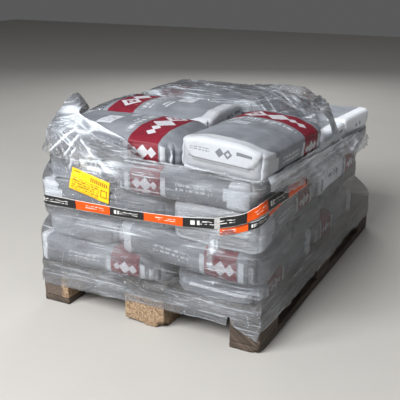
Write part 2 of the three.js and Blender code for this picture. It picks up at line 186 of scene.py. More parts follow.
# Builds one procedural material
class Paint:
    def __init__(self, name):
        self.material = bpy.data.materials.new(name)
        self.material.use_nodes = True
        self.tree = self.material.node_tree
        self.tree.nodes.clear()

    def node(self, kind, inputs=None, **settings):
        node = self.tree.nodes.new(kind)
        for key, value in settings.items():
            setattr(node, key, value)
        for key, value in (inputs or {}).items():
            self.join(value, node.inputs[key])
        return node

    def join(self, value, socket):
        if isinstance(value, Value):
            value = value.socket
        if isinstance(value, bpy.types.NodeSocket):
            self.tree.links.new(value, socket)
        else:
            socket.default_value = value

    def maths(self, kind, a, b=0.0, c=0.0, clamp=False):
        node = self.node("ShaderNodeMath", {0: a, 1: b, 2: c}, operation=kind, use_clamp=clamp)
        return Value(self, node.outputs[0])

    def either(self, *masks):
        result = masks[0]
        for mask in masks[1:]:
            result = self.maths("MAXIMUM", result, mask)
        return result

    def above(self, value, limit):
        return self.maths("GREATER_THAN", value, limit)

    def under(self, value, limit):
        return self.maths("LESS_THAN", value, limit)

    def near(self, value, centre, reach):
        return self.maths("COMPARE", value, centre, reach)

    # Shapes in millimetres, 1 inside them. A rectangle is given by its centre and half sizes.
    def rectangle(self, u, v, centreU, centreV, halfU, halfV):
        return self.near(u, centreU, halfU) * self.near(v, centreV, halfV)

    def disc(self, u, v, centreU, centreV, radius):
        du = u - centreU
        dv = v - centreV
        return self.under(self.maths("SQRT", du * du + dv * dv), radius)

    # A solid diamond where the line is as wide as the radius, or else its outline
    def diamond(self, u, v, centreU, centreV, radius, line):
        du = self.maths("ABSOLUTE", u - centreU)
        dv = self.maths("ABSOLUTE", v - centreV)
        return self.near(du + dv, radius - line / 2, line / 2)

    # One shape repeated for each row of numbers
    def row(self, shape, u, v, marks):
        return self.either(*[shape(u, v, *mark) for mark in marks])

    # 1 in some whole-number cells and 0 in the others
    def speckle(self, u, v, limit):
        cell = self.node("ShaderNodeCombineXYZ", {0: self.maths("FLOOR", u), 1: self.maths("FLOOR", v)})
        chance = self.node("ShaderNodeTexWhiteNoise", {0: cell.outputs[0]}).outputs[0]
        return self.above(chance, limit)

    # Dashes of uneven length
    def dashes(self, u, v, limit):
        spot = self.node("ShaderNodeCombineXYZ", {0: u, 1: v}).outputs[0]
        return self.above(self.grain(spot, 1.0, 1.0), limit)

    def spread(self, value, low, high):
        node = self.node("ShaderNodeMapRange", {0: value, 1: low, 2: high}, interpolation_type="SMOOTHSTEP")
        return Value(self, node.outputs[0])

    def mix(self, share, a, b):
        node = self.node("ShaderNodeMix", {0: share, 6: a, 7: b}, data_type="RGBA")
        return Value(self, node.outputs[2])

    def grain(self, vector, scale, detail=3.0, roughness=0.55, stretch=None, distortion=0.0):
        if stretch:
            vector = self.node("ShaderNodeMapping", {0: vector, 3: stretch}).outputs[0]
        inputs = {"Vector": vector, "Scale": scale, "Detail": detail, "Roughness": roughness,
                  "Distortion": distortion}
        return Value(self, self.node("ShaderNodeTexNoise", inputs).outputs[0])

    def uv(self):
        split = self.node("ShaderNodeSeparateXYZ", {0: self.node("ShaderNodeUVMap").outputs[0]})
        return Value(self, split.outputs[0]) * 1000.0, Value(self, split.outputs[1]) * 1000.0

    def where(self):
        return self.node("ShaderNodeTexCoord").outputs["Object"]

    def reading(self, name):
        return Value(self, self.node("ShaderNodeAttribute", attribute_name=name).outputs["Fac"])

    def bump(self, height, distance, strength):
        inputs = {"Height": height, "Distance": distance, "Strength": strength}
        return self.node("ShaderNodeBump", inputs).outputs[0]

    def clear(self):
        return self.node("ShaderNodeBsdfTransparent", {0: (1, 1, 1, 1)}).outputs[0]

    def blend(self, share, first, second):
        return self.node("ShaderNodeMixShader", {0: share, 1: first, 2: second}).outputs[0]

    def coat(self, colour, roughness, normal, **more):
        inputs = {"Base Color": colour, "Roughness": roughness, "Normal": normal, **more}
        return self.node("ShaderNodeBsdfPrincipled", inputs).outputs[0]

    def finish(self, shader):
        self.node("ShaderNodeOutputMaterial", {0: shader})
        return self.material


# Sacks
sackLook = {
    "length": 488, "width": 292, "layerPitch": 97, "layerGap": 0.5,
    "slack": 1.4,                         # how much thinner the bent sacks of layer 2 are
    # endWhite is a dimmer white for the ends of the top sacks, as painted shade
    "grey": (123, 127, 134), "red": (122, 30, 46), "white": (196, 200, 206), "endWhite": (180, 184, 190),
    "dust": (205, 203, 198), "fibre": (60, 58, 55),
    # Colours: mottle and painted shade on the white end, its ink, and the painted shadow line along the
    # flap's fold
    "endMottleAndShade": (132, 133, 136), "endInk": (78, 82, 88), "flapShadowLine": (70, 70, 72),
    "bandFrom": 85, "bandTo": 190,        # dark red band, from the folded end
    "whiteOnTop": 42, "whiteOnSide": 78,  # reach of the white end over the top and the sides
    "shoulder": 13,                       # how far the long top edges of a sack on top drop
    "wrinkles": 1.0, "roughness": 0.5,
    # Painted light: shares of brightness for paper under the film and for paper on top
    "lighterUnderFilm": 1.5, "lighterOnTop": 0.86,
    "fineCells": (88, 48, 20), "coarseCells": (48, 30, 12),
    "fineOnes": ("sack_5_", "sack_4_across", "sack_4_along_1", "sack_3_across_1", "sack_2_across_1",
                 "sack_1_across_1", "sack_3_along_1", "sack_2_along_1", "sack_1_along_1"),
}
# Plain generic printing, and a painted shadow line along the flap's fold. Each mark has its middle along the
# sack and across or down it, and then its half sizes, or a diamond's radius and line, or a disc's radius.
sackPrint = {
    "topDiamonds": [(137, -58, 42, 20), (137, -58, 11, 11), (137, 18, 40, 40), (137, 68, 17, 17),
                    (137, 98, 17, 17)],
    "topRows": [(213, 0, 8, 112), (234, -30, 3.5, 70)],
    "topBars": [(272, -40, 4, 28), (289, -48, 4, 34)],
    "box": (318, 40, 28, 40), "boxInside": (318, 40, 21, 32),
    "sideBars": [(199, 56, 8, 30), (72, 56, 8, 32), (42, 58, 7, 29), (138, 84, 12, 2.5)],
    "sideDiamonds": [(108, 54, 17, 17), (138, 54, 22, 22), (167, 54, 13, 13)],
    "sideRows": [(300, 40, 62, 3.5), (300, 53, 62, 3.5)],
    # On the white end, down from its top edge and across
    "endBar": (26, 74, 5, 24), "endDiamonds": [(34, 24, 14, 8), (34, -2, 14, 14)],
    "endRows": [(30, -66, 1.3, 32), (37, -66, 1.3, 32)],
    "endDiscs": [(42, -14, 8.5), (40, 26, 8.5)],
    # Painted shadow along the fold under the flap
    "flapShadowLine": (61.5, 0, 1.9, 106),
    # On a side that is white far along, back from the white end and down
    "backBars": [(34, 58, 7, 22), (118, 40, 20, 6)], "backDiamonds": [(164, 42, 14, 8), (190, 42, 14, 14)],
    "paleFold": (-15, -14, 13, 96),
}
deckTop = 144
bottomAcross = 1000    # the underside's places across in the material start here, clear of the rest
deepestSide = 200      # no side reaches further down than this
# The front right corner of the load has sunk
sagLook = {"depth": 44, "fromX": -200, "toX": 350, "fromY": -290, "toY": -600,
           "atTopOfLayer": [0, 1, 0.62, 0, 0, 0]}


def sagAt(x, y, z):
    level = np.clip((z - deckTop) / sackLook["layerPitch"], 0, 5)
    share = np.interp(level, np.arange(6), sagLook["atTopOfLayer"])
    across = smoothStep(sagLook["fromX"], sagLook["toX"], x)
    return sagLook["depth"] * share * across * smoothStep(sagLook["fromY"], sagLook["toY"], y)


# Where the sacks lie: name, layer, middle, heading and what differs from the ordinary sack
def sackPlaces():
    places = []

    def add(name, layer, x, y, heading, **more):
        places.append({"name": name, "layer": layer, "x": x, "y": y, "heading": heading, **more})

    def addAcross(layer, x, heading, frontY, squeeze=0, count=4, **more):
        for n in range(count):
            shorter = squeeze * (n / 3) ** 2
            add(f"sack_{layer}_across_{n + 1}", layer, x - shorter / 2, frontY + (n + 0.5) * 300,
                heading + 0.7 * math.sin(3 * n + layer), length=sackLook["length"] - shorter, **more)

    def addAlong(layer, x, heading, frontY, **more):
        for n in range(2):
            add(f"sack_{layer}_along_{n + 1}", layer, x + 3 * math.sin(5 * n + layer),
                frontY + (n + 0.5) * 494, heading + 0.5 * math.sin(4 * n + 2 * layer), **more)

    addAcross(1, -173, 180, -600, whiteOnSide=40)
    addAlong(1, 240, 90, -600, paleFold=1)
    addAcross(2, 154, 180, -598, squeeze=50, whiteOnSide=46)
    addAlong(2, -248, 90, -598)
    addAcross(3, -150, 180, -600, unprinted=1)
    addAlong(3, 248, -90, -600)
    # Painted light: this sack's white side, on the dim right side of the load, is drawn much lighter
    places[-1].update(whiteOnSide=262, endMarks=1, lighter=2.3)
    addAcross(4, 130, 0, -612, squeeze=12, count=3)
    add("sack_4_across_4", 4, 134, 455, -5, length=474, spots=1)
    addAlong(4, -256, 90, -584, width=268)
    add("sack_5_across_1", 5, -107, -452, 180, length=474, crown=9, shift=-18)
    add("sack_5_across_2", 5, -170, -150, 1.2, crown=9)
    add("sack_5_across_3", 5, -146, 176, -1.5, crown=9, thickness=104)
    add("sack_5_along_1", 5, 275, -372, -92, crown=9, roll=4.5, lift=5.8, width=268, thickness=102,
        noBox=1)
    return places


# Whole-number lattice places turned into places along one side, closer together near both ends
def spaced(index, count, half):
    t = index / count * 2 - 1
    return half * (0.55 * t + 0.45 * np.sin(t * math.pi / 2))


# A block with rounded edges and rounded corners in plan, wider ones at the folded end
def roundedSack(flat, half):
    toWhite = smoothStep(half[0] - 130, half[0] - 10, flat[:, 0])
    radius = np.stack([lerp(24, 11, flat[:, 0] > 0), lerp(30, 17, toWhite), lerp(30, 17, toWhite)], -1)
    core = np.clip(flat, radius - half, half - radius)
    out = (flat - core) / radius
    far = np.maximum(np.linalg.norm(out, axis=1), 1e-9)[:, None]
    point = core + out / far * radius * (far > 1e-6)

    planRadius = np.where(flat[:, 0] > 0, 34, 72)
    overX = np.abs(point[:, 0]) - (half[0] - planRadius)
    overY = np.abs(point[:, 1]) - (half[1] - planRadius)
    both = (overX > 0) & (overY > 0)
    pull = np.where(both, np.maximum(overX, overY) / np.maximum(np.hypot(overX, overY), 1e-9), 1)
    for axis, over in ((0, overX), (1, overY)):
        pulled = np.sign(point[:, axis]) * (half[axis] - planRadius + over * pull)
        point[:, axis] = np.where(both, pulled, point[:, axis])
    return point


# Places in the material for each corner: along the sack from the folded end, and across it. The
# sides carry on from the top, and the ends from the sides.
def sackPrintPlaces(corner, sides, half):
    depth = half[2] - corner[:, :, 2]
    side = sides[:, None]
    u = corner[:, :, 0] + half[0]
    v = np.where(side == 2, half[1] + depth, corner[:, :, 1])
    v = np.where(side == 3, -half[1] - depth, v)
    v = np.where(side == 1, bottomAcross + corner[:, :, 1], v)
    u = np.where(side == 4, 2 * half[0] + depth, u)
    u = np.where(side == 5, -depth, u)
    # The print is laid out for the ordinary length, so that it ends at the white end
    u = np.where(u > half[0], u + sackLook["length"] - 2 * half[0], u)
    return np.stack([u, v], -1)


def sackForm(sack, cells, seed):
    look = sackLook
    slack = look["slack"] if sack["layer"] == 2 else 0
    thickness = sack.get("thickness", look["layerPitch"] - look["layerGap"]) - slack
    crown = sack.get("crown", 0)
    lattice, faces, sides = boxLattice(cells)
    size = [sack.get("length", look["length"]), sack.get("width", look["width"]), thickness]
    half = np.array(size) / 2
    flat = np.stack([spaced(lattice[:, k], cells[k], half[k]) for k in range(3)], -1)

    x, y, z = roundedSack(flat, half).T.copy()
    fromFold = x + half[0]
    fromWhite = half[0] - x
    level = z / half[2]
    thinning = 1 - 0.3 * (1 - smoothStep(0, 80, fromFold))
    dome = (1 - (x / half[0]) ** 2) * (1 - (y / half[1]) ** 2)
    z = (z + half[2]) * thinning + np.where(z > 0, crown * dome, 0)
    if crown:
        z -= look["shoulder"] * smoothStep(0.35, 1, np.abs(y) / half[1]) * smoothStep(0.2, 1, level)

    onSide = smoothStep(0.55, 0.95, np.abs(flat[:, 1]) / half[1]) * (1 - np.abs(level) ** 4)
    onTop = smoothStep(0.2, 0.95, np.abs(level))
    onEnd = smoothStep(0.9, 0.99, np.abs(flat[:, 0]) / half[0])
    strength = look["wrinkles"]

    # Sides bulge a little, and fold along two lines that run lengthwise
    y += np.sign(y) * onSide * 2.6 * smoothStep(0, 90, fromFold) * smoothStep(0, 60, fromWhite)
    wander = 5 * noise(x / 70, seed * 3.1, 0, seed + 5)
    for height, depth in ((0.34, 3.0), (-0.3, 2.2)):
        line = np.exp(-(((z - half[2] * (1 + height) - wander) / 5) ** 2))
        patchy = smoothStep(-0.5, 0.4, noise(x / 90, np.sign(y) * 3, height * 7, seed + 9))
        y -= np.sign(y) * onSide * line * depth * patchy * strength

    # The tuck of the folded end
    tuck = np.exp(-(((fromFold - 38 - 8 * np.abs(level)) / 6) ** 2))
    y -= np.sign(y) * onSide * tuck * (12 if crown else 7)

    # Lumps of the filling, then creases in the paper
    lumps = np.abs(fractal(x / 110, y / 90, z / 90, seed))
    fine = creases(x / 46, y / 60, z / 40, seed + 31, 7) - 0.5 * creases(x / 90, y / 30, z / 60, seed + 32, 5)
    pleats = np.sin(y / 9.5 + 4 * noise(x / 60, y / 80, 0, seed + 41)) * np.exp(-fromFold / 45)
    nearEnds = np.exp(-np.minimum(fromWhite, fromFold) / 70)
    endCreases = creases(x / 120, y / 22 + x / 150, z / 30, seed + 51, 5) * nearEnds
    inwards = strength * (1.6 * lumps + 1.5 * fine + 1.3 * endCreases + (2.2 if crown else 1.4) * pleats)
    z -= np.sign(level) * onTop * (1 - onEnd) * inwards * 0.8
    y -= np.sign(y) * onSide * strength * (1.1 * fine + 0.9 * lumps)
    x -= np.sign(x) * onEnd * strength * 1.2 * creases(y / 50, z / 26, 0, seed + 61, 6)

    # The flap on the white end stands out, and its lower corners are cut
    atEnd = flat[:, 0] >= half[0] - 1e-6
    foldLine = -0.26 * half[2]
    cut = np.clip((np.abs(flat[:, 1]) - (half[1] - 46)) * 0.9, 0, 40)
    flap = atEnd & (flat[:, 2] > foldLine + cut)
    under = np.clip((foldLine + cut - flat[:, 2]) / half[2], 0, 1)
    x += np.where(flap, 1.8, 0) - np.where(atEnd & ~flap, 3.5 + 9 * under, 0)

    turn = math.radians(sack["heading"])
    x, y = x * math.cos(turn) - y * math.sin(turn), x * math.sin(turn) + y * math.cos(turn)
    roll = math.radians(sack.get("roll", 0))
    x, z = x * math.cos(roll) + z * math.sin(roll), z * math.cos(roll) - x * math.sin(roll)
    x += sack["x"]
    y += sack["y"]
    z += deckTop + (sack["layer"] - 1) * look["layerPitch"] + look["layerGap"] + slack / 2
    z += sack.get("lift", 0)
    z -= sagAt(x, y, z)
    return np.stack([x, y, z], -1), faces, sackPrintPlaces(flat[faces], sides, half)


# What the material reads from a sack
def sackValues(sack, seed):
    look = sackLook
    values = {key: sack.get(key, 0) for key in ("paleFold", "endMarks", "spots", "unprinted", "noBox")}
    values["shift"] = sack.get("shift", 7 * math.sin(seed * 2.3))
    values["whiteOnSide"] = sack.get("whiteOnSide", look["whiteOnSide"])
    # Each sack's share of painted light
    usual = look["lighterUnderFilm" if sack["layer"] < 5 else "lighterOnTop"]
    values["lighter"] = sack.get("lighter", usual)
    return values


# White printing on the grey and red paper
def sackWhitePrint(paint, u, v, printU, down, onTop, onSide):
    marks = sackPrint
    topRows = paint.row(paint.rectangle, printU, v, marks["topRows"]) * paint.dashes(v * 0.1, 0.0, 0.5)
    box = paint.rectangle(u, v, *marks["box"]) * (1.0 - paint.reading("noBox"))
    specks = paint.speckle(u / 6.0, v / 5.0, 0.62) * paint.rectangle(u, v, *marks["boxInside"])
    sideDashes = paint.dashes(u * 0.16, down * 0.05, 0.48)
    sideRows = paint.row(paint.rectangle, u, down, marks["sideRows"]) * sideDashes
    top = paint.either(paint.row(paint.diamond, printU, v, marks["topDiamonds"]), topRows,
                       paint.row(paint.rectangle, printU, v, marks["topBars"]), box * (1.0 - specks * 0.5))
    side = paint.either(paint.row(paint.rectangle, printU, down, marks["sideBars"]),
                        paint.row(paint.diamond, printU, down, marks["sideDiamonds"]), sideRows)
    return paint.either(top * onTop, side * onSide) * (1.0 - paint.reading("unprinted"))


# Grey printing on the white end, and on a side that is white far along
def sackEndPrint(paint, low, v, back, down, onEnd, onSide):
    marks = sackPrint
    rows = paint.row(paint.rectangle, low, v, marks["endRows"]) * paint.dashes(v * 0.22, 0.0, 0.46)
    ink = paint.either(paint.rectangle(low, v, *marks["endBar"]),
                       paint.row(paint.diamond, low, v, marks["endDiamonds"]), rows)
    spots = paint.row(paint.disc, low, v, marks["endDiscs"]) * paint.reading("spots")
    sideInk = paint.either(paint.row(paint.rectangle, back, down, marks["backBars"]),
                           paint.row(paint.diamond, back, down, marks["backDiamonds"]))
    onlySpots = 1.0 - paint.reading("spots")
    return paint.either(ink * onlySpots * onEnd, spots * onEnd, sideInk * onSide * paint.reading("endMarks"))


def sackMaterial():
    look = sackLook
    paint = Paint("sack_paper")
    u, v = paint.uv()
    where = paint.where()
    printU = u - paint.reading("shift")
    down = paint.maths("ABSOLUTE", v) - look["width"] / 2    # depth below the top edge, on a side
    notBottom = paint.under(down, deepestSide)
    onSide = paint.above(down, 0.0) * notBottom
    onTop = paint.under(down, 0.0)
    low = u - look["length"]                                 # depth below the top edge, on the white end
    onPaper = paint.under(low, 0.0)
    onEnd = paint.above(low, 1.0)

    halfBand = (look["bandTo"] - look["bandFrom"]) / 2
    band = paint.near(printU, look["bandFrom"] + halfBand, halfBand) * notBottom * onPaper
    band = band * (1.0 - paint.reading("unprinted"))
    white = sackWhitePrint(paint, u, v, printU, down, onTop, onSide) * onPaper

    # The white end wraps over the top and further over the sides
    reachDown = paint.reading("whiteOnSide")
    ragged = (paint.grain(where, 26.0, 3.0) - 0.5) * 22.0 * onSide
    wrap = paint.spread(down, -30.0, 10.0) * (reachDown - look["whiteOnTop"]) + look["whiteOnTop"] + ragged
    tab = paint.rectangle(u, down, look["length"] - look["whiteOnSide"] - 4, 46, 12, 20)
    tab = tab * paint.above(reachDown, look["whiteOnSide"] - 1)
    fold = paint.rectangle(u, v, *sackPrint["paleFold"]) * paint.reading("paleFold")
    endPaper = paint.either(paint.above(low + wrap, 0.0), tab, fold)
    endInk = sackEndPrint(paint, low, v, low * -1.0, down, onEnd, onSide)
    # Painted shadow line along the flap's fold
    flapShadowLine = paint.rectangle(low, v, *sackPrint["flapShadowLine"]) * onEnd
    # Painted shade on the recessed lower part of the white end, below the flap
    paintedShadeBelowFlap = paint.spread(low, 62.0, 66.0) * 0.3

    cloudy = paint.grain(where, 9.0, 4.0, 0.6)
    fibres = paint.grain(where, 260.0, 2.0)
    scuffs = paint.spread(paint.grain(where, 42.0, 5.0, 0.7, distortion=0.6), 0.6, 0.72)
    clouds = paint.spread(cloudy, 0.3, 0.7)
    grey = paint.mix(clouds, linear(look["grey"], 0.9), linear(look["grey"], 1.08))
    red = paint.mix(clouds, linear(look["red"], 0.9), linear(look["red"]))
    colour = paint.mix(band, grey, red)
    colour = paint.mix(white * 0.88, colour, linear(look["white"]))
    dusty = paint.mix(scuffs * 0.16, colour, linear(look["dust"]))
    lighter = paint.reading("lighter")
    # Painted light: ends drawn lighter take the full white, and the top sacks' ends take a dimmer white
    ends = paint.mix(paint.spread(lighter, 1.0, 1.3), linear(look["endWhite"]), linear(look["white"]))
    # The white end is mottled at random, and darker below the flap as painted shade
    ends = paint.mix(paint.spread(cloudy, 0.35, 0.75) * 0.16 + paintedShadeBelowFlap, ends, linear(look["endMottleAndShade"]))
    ends = paint.mix(endInk * 0.8, ends, linear(look["endInk"]))
    # The painted shadow line along the flap's fold
    ends = paint.mix(flapShadowLine * 0.6, ends, linear(look["flapShadowLine"]))
    colour = paint.mix(endPaper, dusty, ends)
    colour = paint.mix(paint.spread(fibres, 0.4, 0.75) * 0.06, colour, linear(look["fibre"]))
    # Painted light: paper seen through the film is drawn lighter, because the film takes light away, and the
    # paper of the top layer is drawn darker, where the light is stronger
    colour = paint.node("ShaderNodeHueSaturation", {"Value": lighter, "Color": colour}).outputs[0]
    height = paint.grain(where, 38.0, 5.0, 0.62) + fibres * 0.12
    return paint.finish(paint.coat(colour, look["roughness"], paint.bump(height, 0.0022, 0.55)))


def buildSacks():
    paper = sackMaterial()
    points = []
    for seed, sack in enumerate(sackPlaces(), start=1):
        fine = sack["name"].startswith(sackLook["fineOnes"])
        form, faces, uv = sackForm(sack, sackLook["fineCells" if fine else "coarseCells"], seed)
        piece = makeMesh(sack["name"] + "_paper", form, faces, uv, sackValues(sack, seed))
        place(piece, paper, sack["name"])
        points.append(form)
    return np.concatenate(points)


loadPoints = buildSacks()
print("sacks built")

# Stretch film
filmLook = {
    "clearance": 2.2, "sag": 0.007,        # how far the film falls back from a high spot, per mm squared
    "halfX": 405, "halfY": 612,            # the upright box that the film's columns are spread round
    "coreX": 100, "coreY": 300, "columns": 640, "rows": 96,
    "fromZ": 24, "toZ": 700, "stepZ": 6,
    "ridges": 1.0, "hazeOnSides": 0.0, "hazeOnSkirt": 0.12, "roughness": 0.32, "glossRoughness": 0.17,
    # Colour of thin haze, and of heavy haze and streaks, whose brightness partly stands for painted glints
    "tint": (182, 188, 197), "bright": (228, 235, 244),
    # The torn upper edge: x and height along the front and the rear, y and height along the sides
    "rim": {"front": [(-405, 600), (-206, 606), (-120, 600), (-51, 578), (19, 562), (136, 556), (405, 545)],
            "right": [(-612, 545), (-120, 548), (20, 540), (100, 505), (250, 462), (612, 452)],
            "rear": [(-405, 600), (100, 600), (160, 560), (250, 470), (405, 452)],
            "left": [(-612, 600), (-330, 606), (60, 604), (612, 600)]},
    # The lower edge, which falls to the floor block at the near corner beside a notch
    "hem": 71, "flapFromX": 311, "flapHem": (81, 36), "notchX": 306, "notchHalf": 6, "notchTop": 104,
    # Pale patches on the front, partly hazier film and partly painted glare: x, height, reach along both,
    # amount
    "hazeAndGlarePatches": [(-190, 522, 85, 42, 0.75), (-150, 318, 260, 22, 0.22), (190, 330, 200, 22, 0.2),
                      (-60, 445, 120, 26, 0.16), (250, 130, 130, 24, 0.3), (-230, 115, 170, 24, 0.2),
                      (360, 260, 40, 60, 0.2), (-50, 525, 120, 34, 0.4), (225, 498, 65, 18, 0.4),
                      (-290, 290, 60, 55, 0.24), (-115, 280, 85, 48, 0.34), (-170, 200, 100, 34, 0.3),
                      (205, 296, 100, 24, 0.26)],
    "tailX": 246, "tailWidth": [(170, 1.5), (230, 2.5), (260, 14), (330, 20), (400, 24)],
    "gatheredAt": (-215, 640),             # x and height of the spot that the corner's folds run from
    # Long folds over the front left: x and height of both ends
    "longFolds": [(-217, 599, -288, 511), (-226, 560, -286, 484), (-240, 612, -330, 540),
                  (-205, 590, -120, 500)],
}


# Columns spaced evenly round the load: how far round, place on the box, and the ray that each lies on
def wrapColumns():
    halfX, halfY = filmLook["halfX"], filmLook["halfY"]
    corners = np.array([(-1, -1), (1, -1), (1, 1), (-1, 1), (-1, -1)], float) * (halfX, halfY)
    along = np.concatenate([[0], np.cumsum(np.linalg.norm(np.diff(corners, axis=0), axis=1))])
    far = np.linspace(0, along[-1], filmLook["columns"], endpoint=False)
    onBox = np.stack([np.interp(far, along, corners[:, k]) for k in (0, 1)], -1)
    core = np.array([filmLook["coreX"], filmLook["coreY"]])
    rayStart = np.clip(onBox, -core, core)
    rayWay = onBox - rayStart
    return far, onBox, rayStart, rayWay / np.linalg.norm(rayWay, axis=1)[:, None]


# How far out the film stands along every ray, for a range of heights: it is drawn straight from one
# high spot of the load to the next, round the load and up and down it.
def reachTable(points):
    angles = np.linspace(0, 2 * math.pi, 360, endpoint=False)
    directions = np.stack([np.cos(angles), np.sin(angles)], -1)
    deckEdges = [(x, y, z) for x in (-400, 400) for y in (-600, 600) for z in (60, 100, 142)]
    points = np.concatenate([points, np.array(deckEdges, float)])
    step = filmLook["stepZ"]
    slices = ((points[:, 2] - heights[0]) / step).astype(int)
    support = np.full((int(slices.max()) + 1, len(angles)), -1e4)
    for number in range(len(support)):
        held = points[slices == number]
        if len(held):
            support[number] = (held[:, :2] @ directions.T).max(axis=0)
    levels = heights[0] + step * np.arange(len(support)) + step / 2
    speed = rayWays @ directions.T
    table = []
    for height in heights:
        drawn = (support - filmLook["sag"] * ((levels - height) ** 2)[:, None]).max(axis=0)
        room = drawn[None, :] - rayStarts @ directions.T
        table.append(np.where(speed > 1e-3, room / np.maximum(speed, 1e-3), 1e6).min(axis=1))
    return np.array(table) + filmLook["clearance"]


def filmMaterial():
    paint = Paint("stretch_film")
    where = paint.where()
    haze = paint.reading("haze")
    lines = paint.grain(where, 1.0, 4.0, 0.65, stretch=(4.5, 4.5, 150.0), distortion=0.3)
    fine = paint.grain(where, 1.0, 3.0, 0.6, stretch=(14.0, 14.0, 430.0))
    clouds = paint.spread(paint.grain(where, 7.0, 4.0, 0.6), 0.3, 0.7)
    # Streaks: stretch lines that whiten the film, drawn brighter so that they also act as painted glints
    wideStreaks = paint.spread(lines, 0.55, 0.67) * 0.7
    fineStreaks = paint.spread(fine, 0.575, 0.69) * 0.7
    streaks = paint.maths("ADD", wideStreaks, fineStreaks, clamp=True) * paint.reading("lines")
    patches = paint.spread(paint.grain(where, 3.2, 3.0), 0.35, 0.62) * 0.8 + 0.45
    onStreaks = streaks * patches * (haze * 0.6 + 0.36)
    cover = paint.maths("ADD", haze * (clouds * 0.6 + 0.7), onStreaks, clamp=True)
    normal = paint.bump(lines + fine * 0.6, 0.008, 0.9)
    pale = paint.maths("MAXIMUM", streaks, paint.spread(haze, 0.3, 0.75))
    colour = paint.mix(pale, linear(filmLook["tint"]), linear(filmLook["bright"]))
    body = paint.blend(cover, paint.clear(), paint.coat(colour, filmLook["roughness"], normal))
    inputs = {"Color": (1, 1, 1, 1), "Roughness": filmLook["glossRoughness"], "Normal": normal}
    gloss = paint.node("ShaderNodeBsdfGlossy", inputs).outputs[0]
    mirror = paint.node("ShaderNodeFresnel", {"IOR": 1.8, "Normal": normal}).outputs[0]
    return paint.finish(paint.blend(mirror, body, gloss))


filmFinish = filmMaterial()


def filmPiece(name, points, faces, haze, lines=1.0):
    piece = makeMesh(name, points, faces, values={"haze": haze, "lines": lines})
    return place(piece, filmFinish, "stretch_film")


girthAt, target, rayStarts, rayWays = wrapColumns()
allColumns = np.arange(len(girthAt))
heights = np.arange(filmLook["fromZ"], filmLook["toZ"], filmLook["stepZ"], dtype=float)
reach = reachTable(loadPoints)
onFront = target[:, 1] <= 1 - filmLook["halfY"]
onRear = target[:, 1] >= filmLook["halfY"] - 1
onRight = target[:, 0] >= filmLook["halfX"] - 1
onLeft = target[:, 0] <= 1 - filmLook["halfX"]


# Reach of the film at heights z, for each of some columns
def reachAt(z, columns=allColumns):
    at = np.clip((z - heights[0]) / filmLook["stepZ"], 0, len(heights) - 1.001)
    low = at.astype(int)
    return lerp(reach[low, columns], reach[low + 1, columns], at - low)


# The points that lie that far out on the columns' rays
def onRays(out, z, columns=allColumns):
    x, y = (rayStarts[columns, k] + rayWays[columns, k] * out for k in (0, 1))
    return np.stack([x, y, z], -1)


# Height of a line that runs round the load, for each column
def heightRound(lines, x, y):
    result = np.zeros(len(x))
    sides = (onFront, x, "front"), (onRight, y, "right"), (onRear, x, "rear"), (onLeft, y, "left")
    for on, along, side in sides:
        result = np.where(on & (result == 0), between(lines[side], along), result)
    return result


# Packing tape: middle height by x along the front and the rear, and by y along the sides
tapeLook = {
    "front": [(-405, 368), (-318, 369), (-50, 370), (144, 378), (246, 390), (313, 413), (385, 446)],
    "right": [(-600, 446), (-570, 454), (-419, 449), (612, 440)],
    "rear": [(-405, 375), (405, 440)], "left": [(-612, 368), (612, 375)],
    "halfWidth": [(-405, 17), (-120, 15), (-50, 13.5), (90, 14.5), (246, 17.5)],
    "printWidth": 34, "rows": 9, "standOff": 1.6, "startX": -400, "startY": 300, "aboutZ": 400,
    # Where the colour changes, measured along the tape from the middle of the front
    "changes": [(-425, 0), (-244, 1), (-114, 2), (10, 3), (144, 4), (355, 5), (430, 6), (580, 7), (731, 8)],
    "partLength": 127,                       # of one colour, on the sides that can't be seen
    "clearParts": [(-420, -392), (246, 269), (738, 1590)],
    # The lower strand leaves the band on the front and joins it again on the right side. Its top is
    # measured down from the band's middle, by the distance run.
    "strandFromX": 262, "strandToY": -430, "strandStandOff": 1.1,
    "strandTop": [(0, 16), (60, 19), (160, 24), (330, 8)],
    "strandWidth": [(0, 22), (30, 25), (150, 23), (200, 12), (330, 7)],
    "black": (30, 30, 32), "orange": (200, 74, 10), "print": (222, 222, 220), "clear": (200, 198, 196),
    "roughness": 0.34, "thickness": 0.4,
}
levelOfTape = int((tapeLook["aboutZ"] - filmLook["fromZ"]) / filmLook["stepZ"])
tapeHeight = heightRound(tapeLook, *(rayStarts + rayWays * reach[levelOfTape][:, None]).T)


# Folds, from 0 to 1, that run like a fan from the gathered corner at the front left
def cornerFolds(z):
    girth = 4 * (filmLook["halfX"] + filmLook["halfY"])
    hubX, hubZ = filmLook["gatheredAt"]
    run = np.where(girthAt < girth / 2, girthAt, girthAt - girth) - filmLook["halfX"] - hubX
    away = np.hypot(run, hubZ - z)
    angle = np.arctan2(hubZ - z, run)
    lines = creases(angle * 6.5, away / 260, 0, 17, 9)
    lines = np.maximum(lines, 0.7 * creases(angle * 13, away / 200, 0, 18, 8))
    return lines * smoothStep(270, 110, away)


def longFoldsAt(x, z, wide=4.5):
    best = np.zeros(np.broadcast(x, z).shape)
    for fromX, fromZ, toX, toZ in filmLook["longFolds"]:
        run = np.array([toX - fromX, toZ - fromZ], float)
        share = np.clip(((x - fromX) * run[0] + (z - fromZ) * run[1]) / (run @ run), 0, 1)
        away = np.hypot(x - fromX - share * run[0], z - fromZ - share * run[1])
        best = np.maximum(best, np.exp(-(away / wide) ** 2))
    return best


